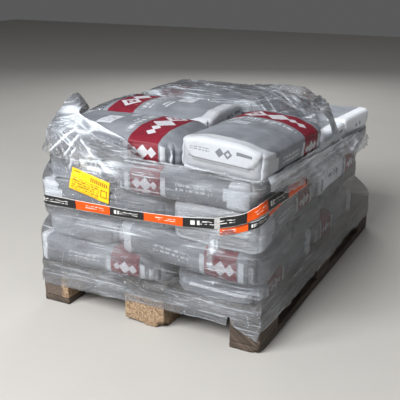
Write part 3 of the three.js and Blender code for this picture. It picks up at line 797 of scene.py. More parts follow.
# The upper and the lower edge of the wrap, for each column
def wrapEdges():
    look = filmLook
    x, y = target.T
    rim = heightRound(look["rim"], x, y) + 5 * noise(girthAt / 60, 0, 0, 3) + 3 * noise(girthAt / 14, 0, 0, 4)
    low = look["hem"] + 5 * noise(girthAt / 190, 0, 0, 5) + 2 * noise(girthAt / 43, 0, 0, 6)
    low = low + 1.2 * noise(girthAt / 9, 0, 0, 7)
    flap = lerp(*look["flapHem"], (x - look["flapFromX"]) / (look["halfX"] - look["flapFromX"]))
    low = np.where(onFront & (x > look["flapFromX"]), flap, low)
    low = np.where(onFront & (np.abs(x - look["notchX"]) < look["notchHalf"]), look["notchTop"], low)
    return rim, low


def buildWrap():
    look = filmLook
    x, y = target.T
    rim, low = wrapEdges()
    t = np.linspace(0, 1, look["rows"])[:, None]
    z = lerp(low[None, :], rim[None, :], t)
    out = reachAt(z)
    # Below the deck the film hangs free and waves
    free = smoothStep(140, 60, z)
    waves = 5 * np.abs(noise(girthAt / 80, z / 90, 0, 8)) + 2.5 * np.abs(noise(girthAt / 27, z / 60, 0, 9))
    out += free * (waves + 1)
    ridge = noise(girthAt / 420, z / 8.5, 0, 11) + 0.6 * noise(girthAt / 160, z / 5, 0, 12)
    slanting = creases(girthAt / 150 + z / 60, z / 44, 0, 13, 8)
    slanting = slanting + creases(girthAt / 130 - z / 75, z / 50, 0, 14, 8)
    pressed = smoothStep(28, 17, np.abs(z - tapeHeight))
    out += (look["ridges"] * ridge + 1.1 * slanting) * (1 - free) * (1 - pressed)
    fan = cornerFolds(z)
    out += 5 * fan * (1 - pressed)
    points = onRays(out, z)

    haze = lerp(look["hazeOnSides"], look["hazeOnSkirt"], smoothStep(175, 120, z))
    haze = haze + 0.10 * slanting + 0.2 * smoothStep(0.94, 1, t)
    # Painted highlights, partly hazier film: patches on the front, laid on as haze
    spot = sum(amount * np.exp(-(((x - atX) / wide) ** 2 + ((z - atZ) / tall) ** 2))
               for atX, atZ, wide, tall, amount in look["hazeAndGlarePatches"])
    spot = spot * (0.8 + 0.55 * noise(x / 45, z / 16, 0, 19))
    # A gathered tail that hangs below the tape
    fromTail = np.abs(x - look["tailX"] - 10 * noise(z / 40, 0, 0, 51))
    tail = smoothStep(1, 0.5, fromTail / between(look["tailWidth"], z))
    tail = tail * smoothStep(165, 175, z) * smoothStep(400, 380, z)
    tail = tail * (0.5 + 0.9 * np.abs(noise(x / 9, z / 13, 0, 52)))
    haze = haze + onFront * (spot + 0.42 * tail + 0.6 * longFoldsAt(x, z))
    # Doubled film along the top edge on the right, creased film at the front left corner, and painted light
    # as haze on the right side towards the front corner
    wavy = z + 9 * noise(girthAt / 55, 0, 0, 15)
    doubled = onRight * smoothStep(-640, -420, y) * smoothStep(478, 505, wavy)
    haze = haze + 0.34 * doubled + 0.5 * fan + 0.16 * onRight * smoothStep(-300, -600, y)
    piece = filmPiece("film_wrap", points, gridFaces(look["rows"], look["columns"], closed=True), haze)
    return points


wrapPoints = buildWrap()
print("film built")


# The film over the rear of the top. It hangs like a low tent from the highest sacks.
drapeLook = {
    "slope": 0.34, "step": 8, "clearance": 3.5, "hang": 46, "frontHang": 62,
    # The front edge and the rear edge, each from the left to the right
    "front": [(-414, -300), (-352, -285), (-318, -60), (-230, 14), (-60, 20), (96, 26), (260, -70),
              (372, -118), (392, -70)],
    "rear": [(-414, 614), (-150, 618), (60, 616), (120, 560), (158, 420), (236, 250)],
    "columns": 116, "rows": 90, "frontRows": 10, "rearRows": 7, "leftColumns": 7, "haze": 0.2,
}


# The tent over the top of the load, on a square grid: its height at x, y
def tentField():
    step = drapeLook["step"]
    left, front, across, back = -460, -640, 116, 160
    field = np.full((across, back), deckTop + 3.8 * sackLook["layerPitch"])
    i = ((loadPoints[:, 0] - left) / step).astype(int)
    j = ((loadPoints[:, 1] - front) / step).astype(int)
    np.maximum.at(field, (i, j), loadPoints[:, 2])
    for n in range(60):
        wide = np.pad(field, 1, mode="edge")
        for di in (-1, 0, 1):
            for dj in (-1, 0, 1):
                fall = drapeLook["slope"] * step * math.hypot(di, dj)
                field = np.maximum(field, wide[1 + di:1 + di + across, 1 + dj:1 + dj + back] - fall)

    def height(x, y):
        u = np.clip((x - left) / step - 0.5, 0, across - 1.001)
        v = np.clip((y - front) / step - 0.5, 0, back - 1.001)
        a, b = u.astype(int), v.astype(int)
        low = lerp(field[a, b], field[a + 1, b], u - a)
        high = lerp(field[a, b + 1], field[a + 1, b + 1], u - a)
        return lerp(low, high, v - b)
    return height


tentHeight = tentField()


# Points at shares of a line's length
def alongLine(line, share):
    line = np.array(line, float)
    steps = np.concatenate([[0], np.cumsum(np.linalg.norm(np.diff(line, axis=0), axis=1))])
    return np.stack([np.interp(share * steps[-1], steps, line[:, k]) for k in range(line.shape[1])], -1)


def buildDrape():
    look = drapeLook
    share = np.linspace(0, 1, look["columns"])
    across = share[None, :]
    back = np.linspace(0, 1, look["rows"])[:, None]
    front, rear = (alongLine(look[key], share).T for key in ("front", "rear"))
    x, y = (lerp(front[k][None, :], rear[k][None, :], back) for k in (0, 1))
    z = tentHeight(x, y) + look["clearance"]
    # Stretch lines run across the tent, and fine folds gather at the right
    toRight = smoothStep(0.55, 1, across)
    z += 1.6 * noise(x / 160, y / 13, 0, 61) + 1.0 * noise(x / 70, y / 7, 0, 62)
    z += toRight * 4 * np.abs(noise(20 * across + 34 * back, across * 3, 0, 63))
    z += 3.0 * creases(x / 130 + y / 60, y / 90, 0, 64, 10)
    # The hanging edges at the front and the rear
    rows = look["frontRows"]
    fall = np.linspace(1, 0, rows, endpoint=False)[:, None]
    hang = look["frontHang"] * (1 - 0.75 * smoothStep(0.55, 0.8, across))
    hang = hang * (0.8 + 0.4 * noise(across * 9, 0, 0, 65))
    frontX = np.broadcast_to(x[0], (rows, len(share)))
    frontY = y[:1] - 5 + 5 * noise(across * 34, fall * 1.5, 0, 66) - 4 * (1 - fall)
    frontZ = z[:1] - 3 - hang * fall
    rows = look["rearRows"]
    fall = np.linspace(0, 1, rows + 1)[1:, None]
    hang = look["hang"] * (0.8 + 0.5 * noise(across * 11, 0, 0, 67))
    rearX = np.broadcast_to(x[-1], (rows, len(share))) + 3 * toRight * fall
    rearY = y[-1:] + 4 + 4 * noise(across * 30, fall, 0, 68)
    rearZ = z[-1:] - 2 - hang * fall
    x = np.concatenate([frontX, x, rearX])
    y = np.concatenate([frontY, y, rearY])
    z = np.concatenate([frontZ, z, rearZ])
    # The left edge hangs outside the wrap
    columns = look["leftColumns"]
    fall = np.linspace(1, 0, columns, endpoint=False)[None, :]
    edgeY = y[:, :1]
    hang = look["hang"] * (0.8 + 0.5 * noise(edgeY / 60, 0, 0, 69))
    leftX = x[:, :1] - 3 + 3 * noise(edgeY / 22, fall, 0, 70)
    x = np.concatenate([leftX, x], axis=1)
    y = np.concatenate([np.broadcast_to(edgeY, (len(x), columns)), y], axis=1)
    z = np.concatenate([z[:, :1] - 2 - hang * fall, z], axis=1)
    pulled = creases((x + y) / 60, (x - y) / 420, 0, 72, 12)
    pulled = pulled * smoothStep(-0.2, 0.3, noise(x / 150, y / 150, 0, 73))
    haze = look["haze"] + 0.3 * creases(x / 130 + y / 60, y / 90, 0, 64, 10)
    haze = haze + 0.1 * np.abs(noise(x / 80, y / 30, 0, 71)) + 0.6 * pulled
    piece = filmPiece("film_top_drape", np.stack([x, y, z], -1), gridFaces(*x.shape), haze)


# The rope that the film is gathered to behind the lengthwise top sack
ropeLook = {"path": [(372, -100, 664), (386, -60, 650), (392, 2, 600), (390, 60, 545), (386, 110, 496)],
            "radii": [26, 17, 10, 11, 20], "folds": 9, "twist": 4.4, "rows": 70, "columns": 84,
            "haze": 0.62, "lines": 0.3}


def buildRope():
    look = ropeLook
    t = np.linspace(0, 1, look["rows"])
    # Its middle line and radius, one row of numbers for each point of the path
    path = [(*point, radius) for point, radius in zip(look["path"], look["radii"])]
    steps = np.linalg.norm(np.diff(look["path"], axis=0), axis=1)
    far = np.concatenate([[0], np.cumsum(steps)])
    line = np.stack([np.interp(t * far[-1], far, column) for column in zip(*path)], -1)
    centre, radius = line[:, :3], line[:, 3:]
    for n in range(8):
        centre[1:-1] = (centre[:-2] + centre[2:]) / 2
    along = np.gradient(centre, axis=0)
    along /= np.linalg.norm(along, axis=1)[:, None]
    sideways = np.cross(along, (1.0, 0, 0))
    sideways /= np.linalg.norm(sideways, axis=1)[:, None]
    outward = np.cross(sideways, along)
    down = t[:, None]
    angle = np.linspace(0, 2 * math.pi * 0.97, look["columns"])[None, :]
    turn = angle + look["twist"] * down
    fold = 0.22 * np.sin(look["folds"] * angle + 1.5 * noise(down * 4, angle, 0, 81))
    fold = fold + 0.16 * noise(angle * 3, down * 14, 0, 82)
    size = radius * (1 + fold)
    points = centre[:, None, :] + sideways[:, None, :] * (size * np.cos(turn))[:, :, None]
    points = points + outward[:, None, :] * (size * np.sin(turn) * 0.75)[:, :, None]
    faces = gridFaces(look["rows"], look["columns"])[:, ::-1]
    piece = filmPiece("film_gather_rope", points, faces, look["haze"] + 0.5 * fold, look["lines"])


# The film bunched up at the front left top corner: its foot on the wrap, the line where it turns
# over the sack's edge, and its torn edge, each from the front round the corner to the left side.
bunchLook = {
    "foot": [(17, -608, 536), (-60, -610, 540), (-140, -612, 535), (-220, -613, 530), (-290, -612, 528),
             (-345, -604, 528), (-384, -574, 530), (-395, -530, 535), (-398, -490, 540), (-400, -460, 545),
             (-401, -430, 550), (-402, -400, 560), (-403, -360, 575), (-404, -320, 592)],
    "ridge": [(17, -609, 550), (-60, -611, 580), (-135, -612, 590), (-215, -611, 598), (-285, -608, 606),
              (-328, -595, 610), (-346, -572, 620), (-352, -534, 645), (-354, -500, 660), (-360, -465, 678),
              (-364, -430, 688), (-365, -402, 688), (-362, -378, 667), (-356, -350, 628)],
    "torn": [(17, -606, 562), (-47, -607, 607), (-120, -590, 626), (-183, -556, 634), (-227, -538, 637),
             (-266, -515, 640), (-299, -486, 641), (-302, -480, 643), (-305, -474, 645), (-309, -466, 647),
             (-313, -456, 650), (-319, -440, 652), (-328, -420, 650), (-338, -395, 642)],
    "hub": (-262, -530, 640),          # where the folds run together
    "around": (-107, -452, 560),       # the crumples push away from the middle of the sack inside
    "insideX": 236, "insideY": 145,    # half the sack's length and width
    "ridgeAt": 0.62,                   # share of the rows that lie below the ridge
    "rows": 100, "columns": 280, "haze": 0.08, "hazeInFront": 0.2, "crumple": 9, "lines": 0.15,
}


# A line through points, with round turns, at shares from 0 to 1 of the number of points
def roundLine(points, share):
    points = np.array(points, float)
    at = np.asarray(share) * (len(points) - 1)
    low = np.clip(at.astype(int), 0, len(points) - 2)
    t = (at - low)[:, None]
    before, here, after, beyond = (points[np.clip(low + k, 0, len(points) - 1)] for k in (-1, 0, 1, 2))
    bend = (2 * before - 5 * here + 4 * after - beyond) * t ** 2
    bend = bend + (3 * here - before - 3 * after + beyond) * t ** 3
    return here + 0.5 * ((after - before) * t + bend)


# Height of the top of the sack inside the bunch, and far below everything beside it
def sackInsideBunch(x, y):
    middleX, middleY = bunchLook["around"][:2]
    inside = (np.abs(x - middleX) < bunchLook["insideX"]) & (np.abs(y - middleY) < bunchLook["insideY"])
    return np.where(inside, tentHeight(x, y) + 1.5, -1e3)


def buildBunch():
    look = bunchLook
    share = np.linspace(0, 1, look["columns"])
    up = np.linspace(0, 1, look["rows"])[:, None, None]
    foot, ridge, torn = (roundLine(look[key], share)[None] for key in ("foot", "ridge", "torn"))
    # Two stretches, joined by a round turn at the ridge
    turnAt = look["ridgeAt"]
    below = lerp(foot, ridge, np.clip(up / turnAt, 0, 1))
    above = lerp(ridge, torn, np.clip((up - turnAt) / (1 - turnAt), 0, 1))
    points = np.where(up < turnAt, below, above)
    for n in range(3):
        points[1:-1] = (points[:-2] + 2 * points[1:-1] + points[2:]) / 4
    # Pleats of three sizes run like a fan from the hub
    offset = points - np.array(look["hub"])
    far = np.linalg.norm(offset, axis=-1)
    angle = np.arctan2(offset[..., 2], offset[..., 0] - offset[..., 1])
    pleat = creases(angle * 5, far / 190, 0, 91, 11)
    pleat = np.maximum(pleat, 0.8 * creases(angle * 12, far / 120, 0, 92, 9))
    pleat = np.maximum(pleat, 0.5 * creases(angle * 26, far / 90, 0, 94, 7))
    up = up[..., 0]
    rough = noise(share * 22, up * 9, 0, 93)
    push = look["crumple"] * (pleat - 0.15 + 0.35 * rough) * smoothStep(0, 0.12, share)
    push = push * (1 - 0.75 * up ** 6)
    away = points - np.array(look["around"], float)
    points = points + away / np.linalg.norm(away, axis=-1)[..., None] * push[..., None]
    x, y, z = np.moveaxis(points, -1, 0)
    z[:] = np.maximum(z, sackInsideBunch(x, y))
    haze = look["haze"] * (0.4 + 0.6 * smoothStep(0, 0.25, share)) * (0.75 + 0.25 * up)
    haze = haze + look["hazeInFront"] * smoothStep(0.32, 0.18, share) * smoothStep(0, 0.1, share)
    haze = haze + 0.5 * np.exp(-(far / 95) ** 2) + 0.2 * smoothStep(600, 660, z)
    haze = haze + 0.62 * np.clip(pleat - 0.22, -0.1, 0.8) + 0.3 * smoothStep(0.95, 1, up)
    haze = haze + 0.7 * longFoldsAt(x, z, 3) * (y < -570)
    faces = gridFaces(look["rows"], look["columns"])[:, ::-1]
    piece = filmPiece("film_corner_bunch", points, faces, haze, look["lines"])


# Loose doubled film along the right side, above the tape: y and height of its two edges
sideFoldLook = {
    "upper": [(-596, 548), (-354, 538), (-142, 520), (84, 502), (330, 476), (540, 446)],
    "lower": [(-596, 520), (-500, 474), (-430, 463), (-260, 460), (-230, 430), (-110, 425), (-70, 456),
              (84, 446), (213, 431), (540, 392)],
    "haze": 0.74, "standsOut": 24, "rows": 36,
}


def buildSideFold():
    look = sideFoldLook
    fromY, toY = look["upper"][0][0], look["upper"][-1][0]
    columns = np.nonzero(onRight & (target[:, 1] > fromY) & (target[:, 1] < toY))[0]
    y = target[columns, 1][None, :]
    low = between(look["lower"], y) + 6 * noise(y / 24, 0, 0, 95)
    high = between(look["upper"], y) + 3 * noise(y / 40, 0, 0, 96)
    up = np.linspace(0, 1, look["rows"])[:, None]
    z = lerp(low, high, up)
    onWrap = reachAt(z, columns)
    folds = creases(y / 300 + z / 160, z / 17, 0, 97, 5) + 0.7 * creases(y / 120 - z / 90, z / 12, 0, 98, 6)
    pleats = noise((y + 0.9 * z) / 30, z / 90, 0, 99)
    out = onWrap + lerp(look["standsOut"], 3, up ** 1.3) + (5 * folds + 7 * pleats) * smoothStep(1, 0.6, up)
    out = np.maximum(out, onWrap + lerp(4, 2, up))
    haze = (look["haze"] + 0.45 * (folds - 0.6)) * lerp(1, 0.6, smoothStep(200, 540, y))
    haze = haze * smoothStep(-0.25, 0.3, up) + 0.3 * smoothStep(0.05, 0, up)
    faces = gridFaces(look["rows"], len(columns))
    piece = filmPiece("film_side_fold", onRays(out, z, columns), faces, np.clip(haze, 0.15, 1))


buildDrape()
buildRope()
buildBunch()
buildSideFold()
print("loose film built")


# The colours and the printing change with u, which counts the parts along the tape
def tapeMaterial():
    look = tapeLook
    paint = Paint("packing_tape")
    u, v = paint.uv()
    u = u / 1000.0
    orange = paint.above(paint.maths("FLOORED_MODULO", u, 2.0), 1.0)
    part = paint.maths("FRACT", u)
    rows = paint.either(paint.near(v, 4.0, 1.6), paint.near(v, -3.5, 1.1)) * paint.near(part, 0.55, 0.27)
    rows = rows * paint.speckle(u * 26.0, v / 4.0, 0.45)
    blocks = paint.either(paint.near(part, 0.16, 0.035), paint.near(part, 0.25, 0.02))
    blocks = blocks * paint.near(v, 0.0, 7.0) * (1.0 - orange)
    edge = paint.near(paint.maths("ABSOLUTE", v), 16.6, 0.9)
    colour = paint.mix(orange, linear(look["black"]), linear(look["orange"]))
    colour = paint.mix(paint.either(rows, blocks, edge) * 0.8, colour, linear(look["print"]))
    normal = paint.bump(paint.grain(paint.where(), 60.0, 4.0), 0.0016, 0.6)
    printed = paint.coat(colour, look["roughness"], normal, **{"Specular IOR Level": 0.25})
    bare = paint.blend(0.35, paint.clear(), paint.coat(linear(look["clear"]), 0.2, normal))
    return paint.finish(paint.blend(paint.spread(paint.reading("clear"), 0.45, 0.55), printed, bare))


tapeFinish = tapeMaterial()


def thicken(piece, thickness):
    piece.modifiers.new("thickness", "SOLIDIFY").thickness = thickness * toMetres


# Which part of the tape each place belongs to, by its distance from the middle of the front
def tapePart(distance):
    changes = tapeLook["changes"]
    part = between(changes, distance)
    for end, beyond in ((changes[0], distance < changes[0][0]), (changes[-1], distance > changes[-1][0])):
        part = np.where(beyond, end[1] + (distance - end[0]) / tapeLook["partLength"], part)
    return part


# A band on the wrap over some columns, between two heights for each column
def bandPiece(name, node, columns, low, high, standOff, phase=0):
    look = tapeLook
    rows = look["rows"]
    t = np.linspace(0, 1, rows)[:, None]
    z = low[None, :] + (high - low)[None, :] * t
    out = reachAt(z, columns)
    out = lerp(out, out.max(axis=0)[None, :], 0.5) + standOff
    across = girthAt[columns][None, :]
    out = out + 0.5 * noise(across / 35, z / 14, 0, 21) + 0.5 * creases(across / 60 + z / 40, 0, 0, 22, 8)
    points = onRays(out, z, columns)
    centre = points[rows // 2]
    middle = int(np.argmin(np.abs(centre[:, 0]) + 1e4 * ~onFront[columns]))
    length = np.concatenate([[0], np.cumsum(np.linalg.norm(np.diff(centre[:, :2], axis=0), axis=1))])
    distance = length - length[middle] + centre[middle, 0]
    clear = np.zeros(len(distance))
    for begin, end in look["clearParts"]:
        clear = np.where((distance > begin) & (distance < end), 1.0, clear)
    u = np.broadcast_to((tapePart(distance) + phase) * 1000, z.shape)
    v = np.broadcast_to((t - 0.5) * look["printWidth"], z.shape)
    faces = gridFaces(rows, len(columns))
    uv = np.stack([u, v], -1).reshape(-1, 2)[faces]
    piece = makeMesh(name, points, faces, uv, {"clear": clear})
    thicken(piece, look["thickness"])
    place(piece, tapeFinish, node)


def buildTape():
    look = tapeLook
    x, y = target.T
    # The band starts and ends on the left side
    first = int(np.argmin(np.abs(x - look["startX"]) + 1e3 * (np.abs(y - look["startY"]) > 4)))
    columns = (np.arange(len(girthAt) + 1) + first) % len(girthAt)
    halfX, halfY = filmLook["halfX"], filmLook["halfY"]
    half = between(look["halfWidth"], np.where(onFront, x, np.where(onRight, halfX, -halfX)))
    low, high = (tapeHeight - half)[columns], (tapeHeight + half)[columns]
    bandPiece("packing_tape_band", "packing_tape", columns, low, high, look["standOff"])
    frontPart = onFront & (x > look["strandFromX"])
    lower = np.nonzero(frontPart | (onRight & (y < look["strandToY"])))[0]
    run = np.where(frontPart, x, halfX + y + halfY)[lower] - look["strandFromX"]
    high = tapeHeight[lower] - between(look["strandTop"], run)
    low = high - between(look["strandWidth"], run)
    bandPiece("packing_tape_lower_strand", "packing_tape_second_turn", lower, low, high,
              look["strandStandOff"], phase=1)


buildTape()

# Yellow sticker: x and height of its corners at the upper left, upper right, lower left, lower right,
# and its generic printing, by middle and half sizes from its lower left corner
stickerLook = {
    "corners": [(-256, 491), (-106, 463), (-267, 423), (-117, 391)], "width": 156, "height": 72,
    "standOff": 1.2, "curl": 5, "thickness": 0.3, "columns": 52, "rows": 20,
    "yellow": (240, 184, 6), "ink": (70, 42, 16), "stain": (120, 96, 20),
    "rowsBox": (62, 24, 54, 20), "barsBox": (112, 57, 36, 6.5), "lineBox": (20, 64, 13, 1.6),
    "squareAt": (136, 26), "squareHalf": 11, "squareLine": 1.6, "pitch": 8,
}


def stickerMaterial():
    look = stickerLook
    paint = Paint("yellow_sticker")
    u, v = paint.uv()
    stepU, stepV = (paint.maths("FLOORED_MODULO", along, look["pitch"]) for along in (u, v))
    rows = paint.near(stepV, 4.0, 2.0) * paint.rectangle(u, v, *look["rowsBox"])
    rows = rows * paint.speckle(u / 4.5, v / 8.0, 0.3)
    bars = paint.rectangle(u, v, *look["barsBox"]) * paint.under(stepU, 4.6)
    line = paint.rectangle(u, v, *look["lineBox"])
    fromMiddle = [paint.maths("ABSOLUTE", along - at) for along, at in zip((u, v), look["squareAt"])]
    square = paint.near(paint.maths("MAXIMUM", *fromMiddle), look["squareHalf"], look["squareLine"])
    marks = paint.either(rows, bars, line, square)
    colour = paint.mix(marks * 0.9, linear(look["yellow"]), linear(look["ink"]))
    stains = paint.spread(paint.grain(paint.where(), 22.0, 4.0), 0.4, 0.75) * 0.12
    colour = paint.mix(stains, colour, linear(look["stain"]))
    normal = paint.bump(paint.grain(paint.where(), 40.0, 3.0), 0.0015, 0.5)
    return paint.finish(paint.coat(colour, 0.36, normal))


def buildSticker():
    look = stickerLook
    a, b = np.meshgrid(np.linspace(-0.5, 0.5, look["columns"]), np.linspace(-0.5, 0.5, look["rows"]))
    along = a * look["width"]
    up = b * look["height"]
    upperLeft, upperRight, lowerLeft, lowerRight = np.array(look["corners"], float)[..., None, None]
    x, z = lerp(lerp(lowerLeft, lowerRight, a + 0.5), lerp(upperLeft, upperRight, a + 0.5), b + 0.5)
    # It lies on the film's high spots, and its corners stand off a little
    film = wrapPoints[:, onFront].reshape(-1, 3)

    def filmStandsOut(atX, atZ):
        return -film[np.argmin((film[:, 0] - atX) ** 2 + (film[:, 2] - atZ) ** 2), 1]

    nearest = np.vectorize(filmStandsOut)(x, z)
    smooth = nearest
    for n in range(6):
        padded = np.pad(smooth, 1, mode="edge")
        smooth = (padded[:-2, 1:-1] + padded[2:, 1:-1] + padded[1:-1, :-2] + padded[1:-1, 2:]) / 4
    outer = np.hypot(np.maximum(np.abs(a) - 0.2, 0) * 1.3, np.maximum(np.abs(b) - 0.2, 0) * 0.6)
    lifted = 0.5 * look["curl"] * smoothStep(0.36, 0.5, outer)
    out = np.maximum(smooth, nearest) + look["standOff"] + lifted
    out = out + 0.6 * creases(along / 60 + up / 40, up / 50, 0, 25, 7)
    faces = gridFaces(*x.shape)
    uv = np.stack([along + look["width"] / 2, up + look["height"] / 2], -1).reshape(-1, 2)[faces]
    piece = makeMesh("yellow_sticker_sheet", np.stack([x, -out, z], -1), faces, uv)
    thicken(piece, look["thickness"])
    place(piece, stickerMaterial(), "yellow_sticker")


buildSticker()
print("tape and sticker built")

# Pallet
palletLook = {
    "width": 800, "length": 1200, "board": 22, "wide": 145, "narrow": 100, "block": 78, "blockLength": 145,
    "wood": (98, 86, 76), "darkWood": (54, 46, 41), "paleWood": (140, 124, 106), "dirt": (52, 45, 40),
    "chip": (148, 120, 94), "darkChip": (74, 54, 40), "paleChip": (206, 180, 148),
    "chipGap": (74, 50, 32), "chipStain": (110, 84, 62),
    "greyChip": (118, 104, 94), "darkGreyChip": (70, 60, 54),
    "wear": 1.0,
    "brokenOff": 160,                       # length of the centre bottom board that is gone at the front
    "boardCell": 9, "blockCell": 5, "mostCells": 96,
    # Chipped corners: which one, how far the chip reaches along each axis, and how deep it goes
    "boardChips": [((1, -1, -1), (30, 40, 20), 4)],
    "blockChips": [((1, -1, -1), (34, 44, 26), 9), ((-1, -1, -1), (90, 60, 12), 6)],
}


def woodMaterial():
    look = palletLook
    paint = Paint("pallet_wood")
    onPiece = paint.node("ShaderNodeUVMap").outputs[0]
    grain = paint.grain(onPiece, 1.0, 5.0, 0.62, stretch=(5.0, 95.0, 1.0), distortion=0.5)
    fibres = paint.grain(onPiece, 1.0, 3.0, 0.6, stretch=(14.0, 520.0, 1.0))
    saw = paint.grain(onPiece, 1.0, 2.0, 0.5, stretch=(230.0, 9.0, 1.0))
    dirt = paint.spread(paint.grain(paint.where(), 9.0, 5.0, 0.65), 0.42, 0.7)
    colour = paint.mix(paint.spread(grain, 0.35, 0.68), linear(look["darkWood"]), linear(look["wood"]))
    colour = paint.mix(paint.spread(fibres, 0.52, 0.8) * 0.4, colour, linear(look["paleWood"]))
    colour = paint.mix(dirt * 0.5, colour, linear(look["dirt"]))
    height = grain + fibres * 0.4 + saw * 0.25
    return paint.finish(paint.coat(colour, 0.85, paint.bump(height, 0.003, 0.8)))


def chipMaterial():
    look = palletLook
    paint = Paint("chipboard")
    where = paint.where()
    stretched = paint.node("ShaderNodeMapping", {0: where, 3: (270.0, 270.0, 330.0)}).outputs[0]
    flakes = paint.node("ShaderNodeTexVoronoi", {"Vector": stretched, "Scale": 1.0, "Randomness": 1.0})
    tone = Value(paint, paint.node("ShaderNodeSeparateColor", {0: flakes.outputs["Color"]}).outputs[0])
    stains = paint.grain(where, 30.0, 3.0)
    fine = paint.grain(where, 240.0, 3.0, 0.7)
    colour = paint.mix(tone, linear(look["darkChip"]), linear(look["paleChip"]))
    colour = paint.mix(0.25, colour, linear(look["chip"]))
    colour = paint.mix(paint.spread(fine, 0.5, 0.35) * 0.6, colour, linear(look["chipGap"]))
    colour = paint.mix(paint.spread(stains, 0.55, 0.75) * 0.3, colour, linear(look["chipStain"]))
    # The left block has weathered to grey on its outer half
    x = Value(paint, paint.node("ShaderNodeSeparateXYZ", {0: where}).outputs[0])
    inner = paint.spread(x + (stains - 0.5) * 0.03, -0.332, -0.322)
    patchy = paint.spread(fine, 0.35, 0.65)
    weathered = paint.mix(patchy, linear(look["darkGreyChip"]), linear(look["greyChip"]))
    colour = paint.mix(inner, weathered, colour)
    return paint.finish(paint.coat(colour, 0.9, paint.bump(tone * 0.6 + fine, 0.003, 0.9)))


# The boards and blocks: name, size, middle, the axis that the grain runs along, and what differs
def palletPieces():
    look = palletLook
    thick, narrow, wide, blockLength = look["board"], look["narrow"], look["wide"], look["blockLength"]
    edgeX = (look["width"] - narrow) / 2
    edgeY = (look["length"] - blockLength) / 2
    pieces = []

    def add(name, size, middle, grainAxis=1, **more):
        pieces.append({"name": name, "size": size, "middle": middle, "grainAxis": grainAxis, **more})

    lines = (("left", -edgeX, narrow), ("centre", 0, wide), ("right", edgeX, narrow))
    for side, x, width in lines:
        missing = look["brokenOff"] if side == "centre" else 0
        add(f"bottom_board_{side}", (width, look["length"] - missing, thick), (x, missing / 2, thick / 2),
            chips=look["boardChips"] if side == "right" else [])
    for row, y in (("front", -edgeY), ("middle", 0), ("rear", edgeY)):
        for side, x, width in lines:
            pressed = row == "front" and side != "right"
            toFloor = row == "front" and side == "centre"
            foot = 0 if toFloor else thick
            height = thick + look["block"] - foot
            add(f"block_{row}_{side}", (width, blockLength, height), (x, y, foot + height / 2),
                slot="chipboard" if pressed else "pallet_wood", cellSize=look["blockCell"],
                chips=look["blockChips"] if toFloor else [])
        middle = (0, y, thick * 1.5 + look["block"])
        add(f"cross_board_{row}", (look["width"], blockLength, thick), middle, grainAxis=0)
    widths = [wide, narrow, wide, narrow, wide]
    gap = (look["width"] - sum(widths)) / (len(widths) - 1)
    left = -look["width"] / 2
    for number, width in enumerate(widths, start=1):
        middle = (left + width / 2, 0, deckTop - thick / 2)
        add(f"deck_board_{number}", (width, look["length"], thick), middle)
        left += width + gap
    return pieces


# A worn board or block with splits along the grain and chipped corners
def woodForm(wood, seed):
    cellSize = wood.get("cellSize", palletLook["boardCell"])
    cells = [max(3, int(round(side / cellSize))) for side in wood["size"]]
    cells = [min(cells[0], palletLook["mostCells"]), min(cells[1], palletLook["mostCells"]), cells[2]]
    lattice, faces = boxLattice(cells)[:2]
    half = np.array(wood["size"]) / 2
    t = lattice / cells - 0.5
    flat = half * (0.8 * t * 2 + 0.2 * np.sin(t * math.pi))
    worn = 2.2 + 1.4 * noise(flat[:, 0] / 60, flat[:, 1] / 60, flat[:, 2] / 30, seed)
    core = np.clip(flat, worn[:, None] - half, half - worn[:, None])
    far = np.linalg.norm(flat - core, axis=1)
    scale = np.where(far > 1e-6, worn / np.maximum(far, 1e-6), 0)
    point = core + (flat - core) * np.minimum(scale, 1)[:, None]
    rough = 0.7 * np.abs(fractal(point[:, 0] / 22, point[:, 1] / 22, point[:, 2] / 12, seed + 3))
    grainAxis = wood["grainAxis"]
    along, other = point[:, grainAxis], point[:, 1 - grainAxis]
    splits = creases(along / 260, other / 9 + point[:, 2] / 15, 0, seed + 7, 26)
    splits = splits * smoothStep(0.1, 0.6, noise(along / 160, other / 30, 0, seed + 8))
    inwards = -np.sign(flat) * (np.abs(flat) >= half - 1e-6)
    point = point + inwards * (rough + 1.6 * splits)[:, None] * palletLook["wear"]
    for corner, reachOut, depth in wood.get("chips", []):
        away = np.linalg.norm((point - np.array(corner) * half) / np.array(reachOut), axis=1)
        crumbled = 0.25 * fractal(point[:, 0] / 12, point[:, 1] / 12, point[:, 2] / 9, seed + 11)
        point = point - np.array(corner) * depth * smoothStep(1.0, 0.35, away + crumbled)[:, None]
    # Every piece takes its grain from another place of the material
    corner = flat[faces]
    u = corner[:, :, grainAxis] + seed * 731
    v = corner[:, :, 1 - grainAxis] + corner[:, :, 2] * 1.3 + seed * 97
    return point + np.array(wood["middle"]), faces, np.stack([u, v], -1)


def buildPallet():
    finishes = {"pallet_wood": woodMaterial(), "chipboard": chipMaterial()}
    for seed, wood in enumerate(palletPieces(), start=1):
        slot = wood.get("slot", "pallet_wood")
        place(makeMesh(wood["name"] + "_wood", *woodForm(wood, seed)), finishes[slot], wood["name"])


buildPallet()
print("pallet built")


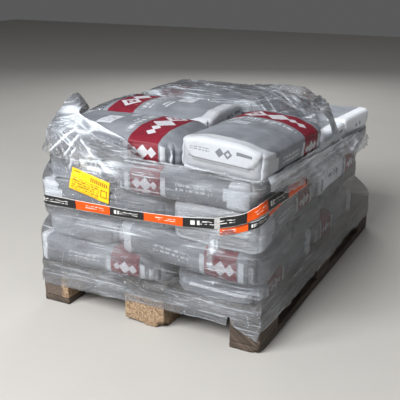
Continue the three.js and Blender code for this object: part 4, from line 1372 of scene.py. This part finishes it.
# Floor, light and camera, in metres. Each lamp has its power, size, place and what it points at.
studio = {
    "cameraAt": (1.083, -2.295, 1.103), "pitch": 18.75, "yaw": 27.49, "lens": 63.1,
    "floor": (176, 174, 170), "floorReach": 9, "sky": (236, 236, 238), "skyStrength": 0.12,
    "lamps": {"key": (385, 2.2, (-0.4, -3.9, 3.9), (0, 0, 0.35)),
              "glint": (150, 1.3, (-2.4, -3.9, 2.4), (0, -0.5, 0.4)),
              "overhead": (5, 3.0, (0.5, -0.2, 3.6), (0.5, -0.19, 0)),
              "fill": (19, 2.2, (3.4, -1.6, 2.2), (0.4, 0, 0.4)),
              "rear": (70, 2.0, (-1.6, 3.6, 2.4), (0, 0, 0.4))},
    "mirrored": "glint",                   # the only lamp that shows in glossy surfaces
}


def addToScene(name, data, at, turn):
    holder = bpy.data.objects.new(name, data)
    holder.location = at
    holder.rotation_euler = turn
    bpy.context.scene.collection.objects.link(holder)
    return holder


def buildStudio():
    far = studio["floorReach"] / toMetres
    corners = [(-far, -far, 0), (far, -far, 0), (far, far, 0), (-far, far, 0)]
    floor = makeMesh("floor", corners, [(0, 1, 2, 3)])
    paint = Paint("floor_finish")
    clouds = paint.grain(paint.where(), 3.0, 6.0, 0.65)
    tone = paint.mix(clouds, linear(studio["floor"], 0.95), linear(studio["floor"]))
    inputs = {"Base Color": tone, "Roughness": 0.8}
    floor.data.materials.append(paint.finish(paint.node("ShaderNodeBsdfPrincipled", inputs).outputs[0]))
    world = bpy.data.worlds.new("studio")
    world.use_nodes = True
    sky = world.node_tree.nodes["Background"]
    sky.inputs[0].default_value = linear(studio["sky"])
    sky.inputs[1].default_value = studio["skyStrength"]
    bpy.context.scene.world = world
    for name, (power, size, at, aim) in studio["lamps"].items():
        lamp = bpy.data.lights.new(name, "AREA")
        lamp.energy = power
        lamp.size = size
        x, y, z = np.array(aim) - np.array(at)
        turn = (math.atan2(math.hypot(x, y), -z), 0, math.atan2(y, x) - math.pi / 2)
        holder = addToScene(name, lamp, at, turn)
        holder.visible_glossy = name == studio["mirrored"]
    camera = bpy.data.cameras.new("camera")
    camera.lens = studio["lens"]
    camera.sensor_width = 36
    turn = (math.radians(90 - studio["pitch"]), 0, math.radians(studio["yaw"]))
    bpy.context.scene.camera = addToScene("camera", camera, studio["cameraAt"], turn)
    bpy.context.scene.view_settings.view_transform = "Standard"


buildStudio()
print("studio built")
